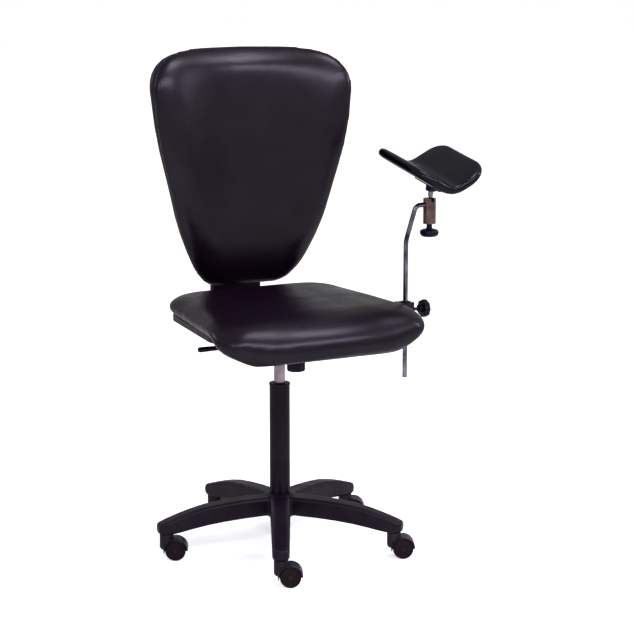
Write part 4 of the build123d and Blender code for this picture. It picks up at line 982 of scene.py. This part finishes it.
seat_cover = plump(make_seat_form(), 0.006, 2.5, 0.006)
settle(seat_cover, 180)
dress(seat_cover, "seat", "upholstery", LEATHER, "seat_cushion")
back_cover = plump(make_back_form(), 0.006, 2.5, 0.005)
settle(back_cover, 180)
dress(back_cover, "back", "upholstery", LEATHER, "back_cushion")
pad_cover = plump(make_pad_form(), 0.003, 2.0, 0.0015)
settle(pad_cover, 180)
dress(pad_cover, "pad", "upholstery", PAD_SKIN, "arm_pad")
rear_cover = make_back_shell()
dress(rear_cover, "back", "black_nylon", SHELL_PLASTIC, "back_shell")
dress(make_base(), "base", "black_nylon", NYLON, "star_base")
hood = make_hood()
wheels = make_wheel_pair()
for number in CASTERS:
    place = caster_place(number - 1)
    guard = copy_turned(hood, f"caster_{number}_guard", CASTER_TURN, place)
    dress(guard, f"caster_{number}", "black_nylon", HOOD_PLASTIC, f"caster_{number}_hood")
    pair = copy_turned(wheels, f"caster_{number}_twin_wheels", CASTER_TURN, place)
    dress(pair, f"wheels_{number}", "wheel_rubber", WHEEL_RUBBER, f"caster_{number}_wheels")
bpy.data.objects.remove(hood)
bpy.data.objects.remove(wheels)
dress(make_tension_knob(), "tension", "black_nylon", KNOB_PLASTIC, "tension_knob")
dress(make_back_knob(), "back_clamp", "black_nylon", KNOB_PLASTIC, "back_knob")
dress(make_clamp_knob(), "arm_clamp", "black_nylon", KNOB_PLASTIC, "clamp_knob")
dress(make_socket_knob(), "socket_clamp", "black_nylon", KNOB_PLASTIC, "socket_knob")
dress(make_lever_grip(), "lever", "black_nylon", KNOB_PLASTIC, "lever_grip")
spring = dress(make_spring(), "lift", "satin_steel", ZINC, "tension_spring")
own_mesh(spring)


def seen_rays(tree):
    """1 on rays from the camera, a gloss or a clear surface, and 0 on those that carry light."""
    rays = tree.nodes.new("ShaderNodeLightPath").outputs
    return math_node(tree, "MAXIMUM", rays["Is Camera Ray"],
                     math_node(tree, "MAXIMUM", rays["Is Glossy Ray"], rays["Is Transmission Ray"]))


def make_floor():
    """Pale floor that takes the chair's shadow and glows up to the surroundings' white farther out."""
    deselect_all()
    bpy.ops.mesh.primitive_plane_add(size=60, location=(0, 0, -0.0008))
    floor = named("studio_floor")
    pick(floor)
    bpy.ops.object.transform_apply(location=True)
    material, tree, shader = new_material("pale_floor", Base_Color=(0.8, 0.8, 0.8, 1), Roughness=0.9,
                                          Specular_IOR_Level=0.1)
    shader.inputs["Emission Color"].default_value = (1, 1, 1, 1)
    place = tree.nodes.new("ShaderNodeTexCoord").outputs["Object"]
    reach = tree.nodes.new("ShaderNodeVectorMath")
    reach.operation = "LENGTH"
    tree.links.new(place, reach.inputs[0])
    glow = map_range(tree, reach.outputs["Value"], 0.5, 2.2, 0.62, 1.0)
    tree.links.new(math_node(tree, "MULTIPLY", seen_rays(tree), glow), shader.inputs["Emission Strength"])
    floor.data.materials.append(material)


def make_world():
    """Plain pale surroundings: white to the camera, dimmer for the light they give."""
    world = bpy.data.worlds.new("studio")
    bpy.context.scene.world = world
    world.use_nodes = True
    tree = world.node_tree
    background = tree.nodes["Background"]
    background.inputs["Color"].default_value = (1, 1, 1, 1)
    level = math_node(tree, "MAXIMUM", seen_rays(tree), 0.3)
    tree.links.new(level, background.inputs["Strength"])


def make_light(name, place, target, size, power, colour):
    """Rectangular lamp at a place, turned to a target."""
    data = bpy.data.lights.new(name, "AREA")
    data.shape = "RECTANGLE"
    data.size, data.size_y = size
    data.energy = power
    data.color = colour
    light = bpy.data.objects.new(name, data)
    bpy.context.scene.collection.objects.link(light)
    light.location = place
    light.rotation_euler = (Vector(target) - Vector(place)).to_track_quat("-Z", "Y").to_euler()


def make_camera():
    """Camera fitted to the photo by the five legs of the base and the upright column."""
    data = bpy.data.cameras.new("photo_camera")
    data.sensor_width = 36
    data.lens = 99.93
    data.clip_end = 100
    camera = bpy.data.objects.new("photo_camera", data)
    bpy.context.scene.collection.objects.link(camera)
    camera.location = (-1.8338, -3.7598, 1.3925)
    camera.rotation_euler = (math.radians(78.99), 0, math.radians(-27.25))
    bpy.context.scene.camera = camera


make_floor()
make_world()
make_light("overhead", (0.75, -0.4, 2.5), (0.05, -0.2, 0.6), (0.6, 0.6), 26, (0.88, 0.80, 1.0))
make_light("front", (0.6, -2.3, 2.4), (0, 0.1, 1.1), (2.6, 0.45), 94, (0.82, 0.74, 1.0))
make_light("front_left", (-1.5, -2.3, 2.2), (0, 0, 0.9), (0.45, 0.6), 26, (0.84, 0.78, 1.0))
make_light("right", (2.5, -0.6, 1.9), (0.1, 0, 1.0), (0.45, 0.8), 30, (0.86, 0.80, 1.0))
make_light("rear_left", (-1.7, 1.4, 1.9), (-0.2, -0.05, 0.7), (0.6, 0.6), 20, (0.86, 0.80, 1.0))
make_camera()
bpy.context.scene.view_settings.view_transform = "Standard"
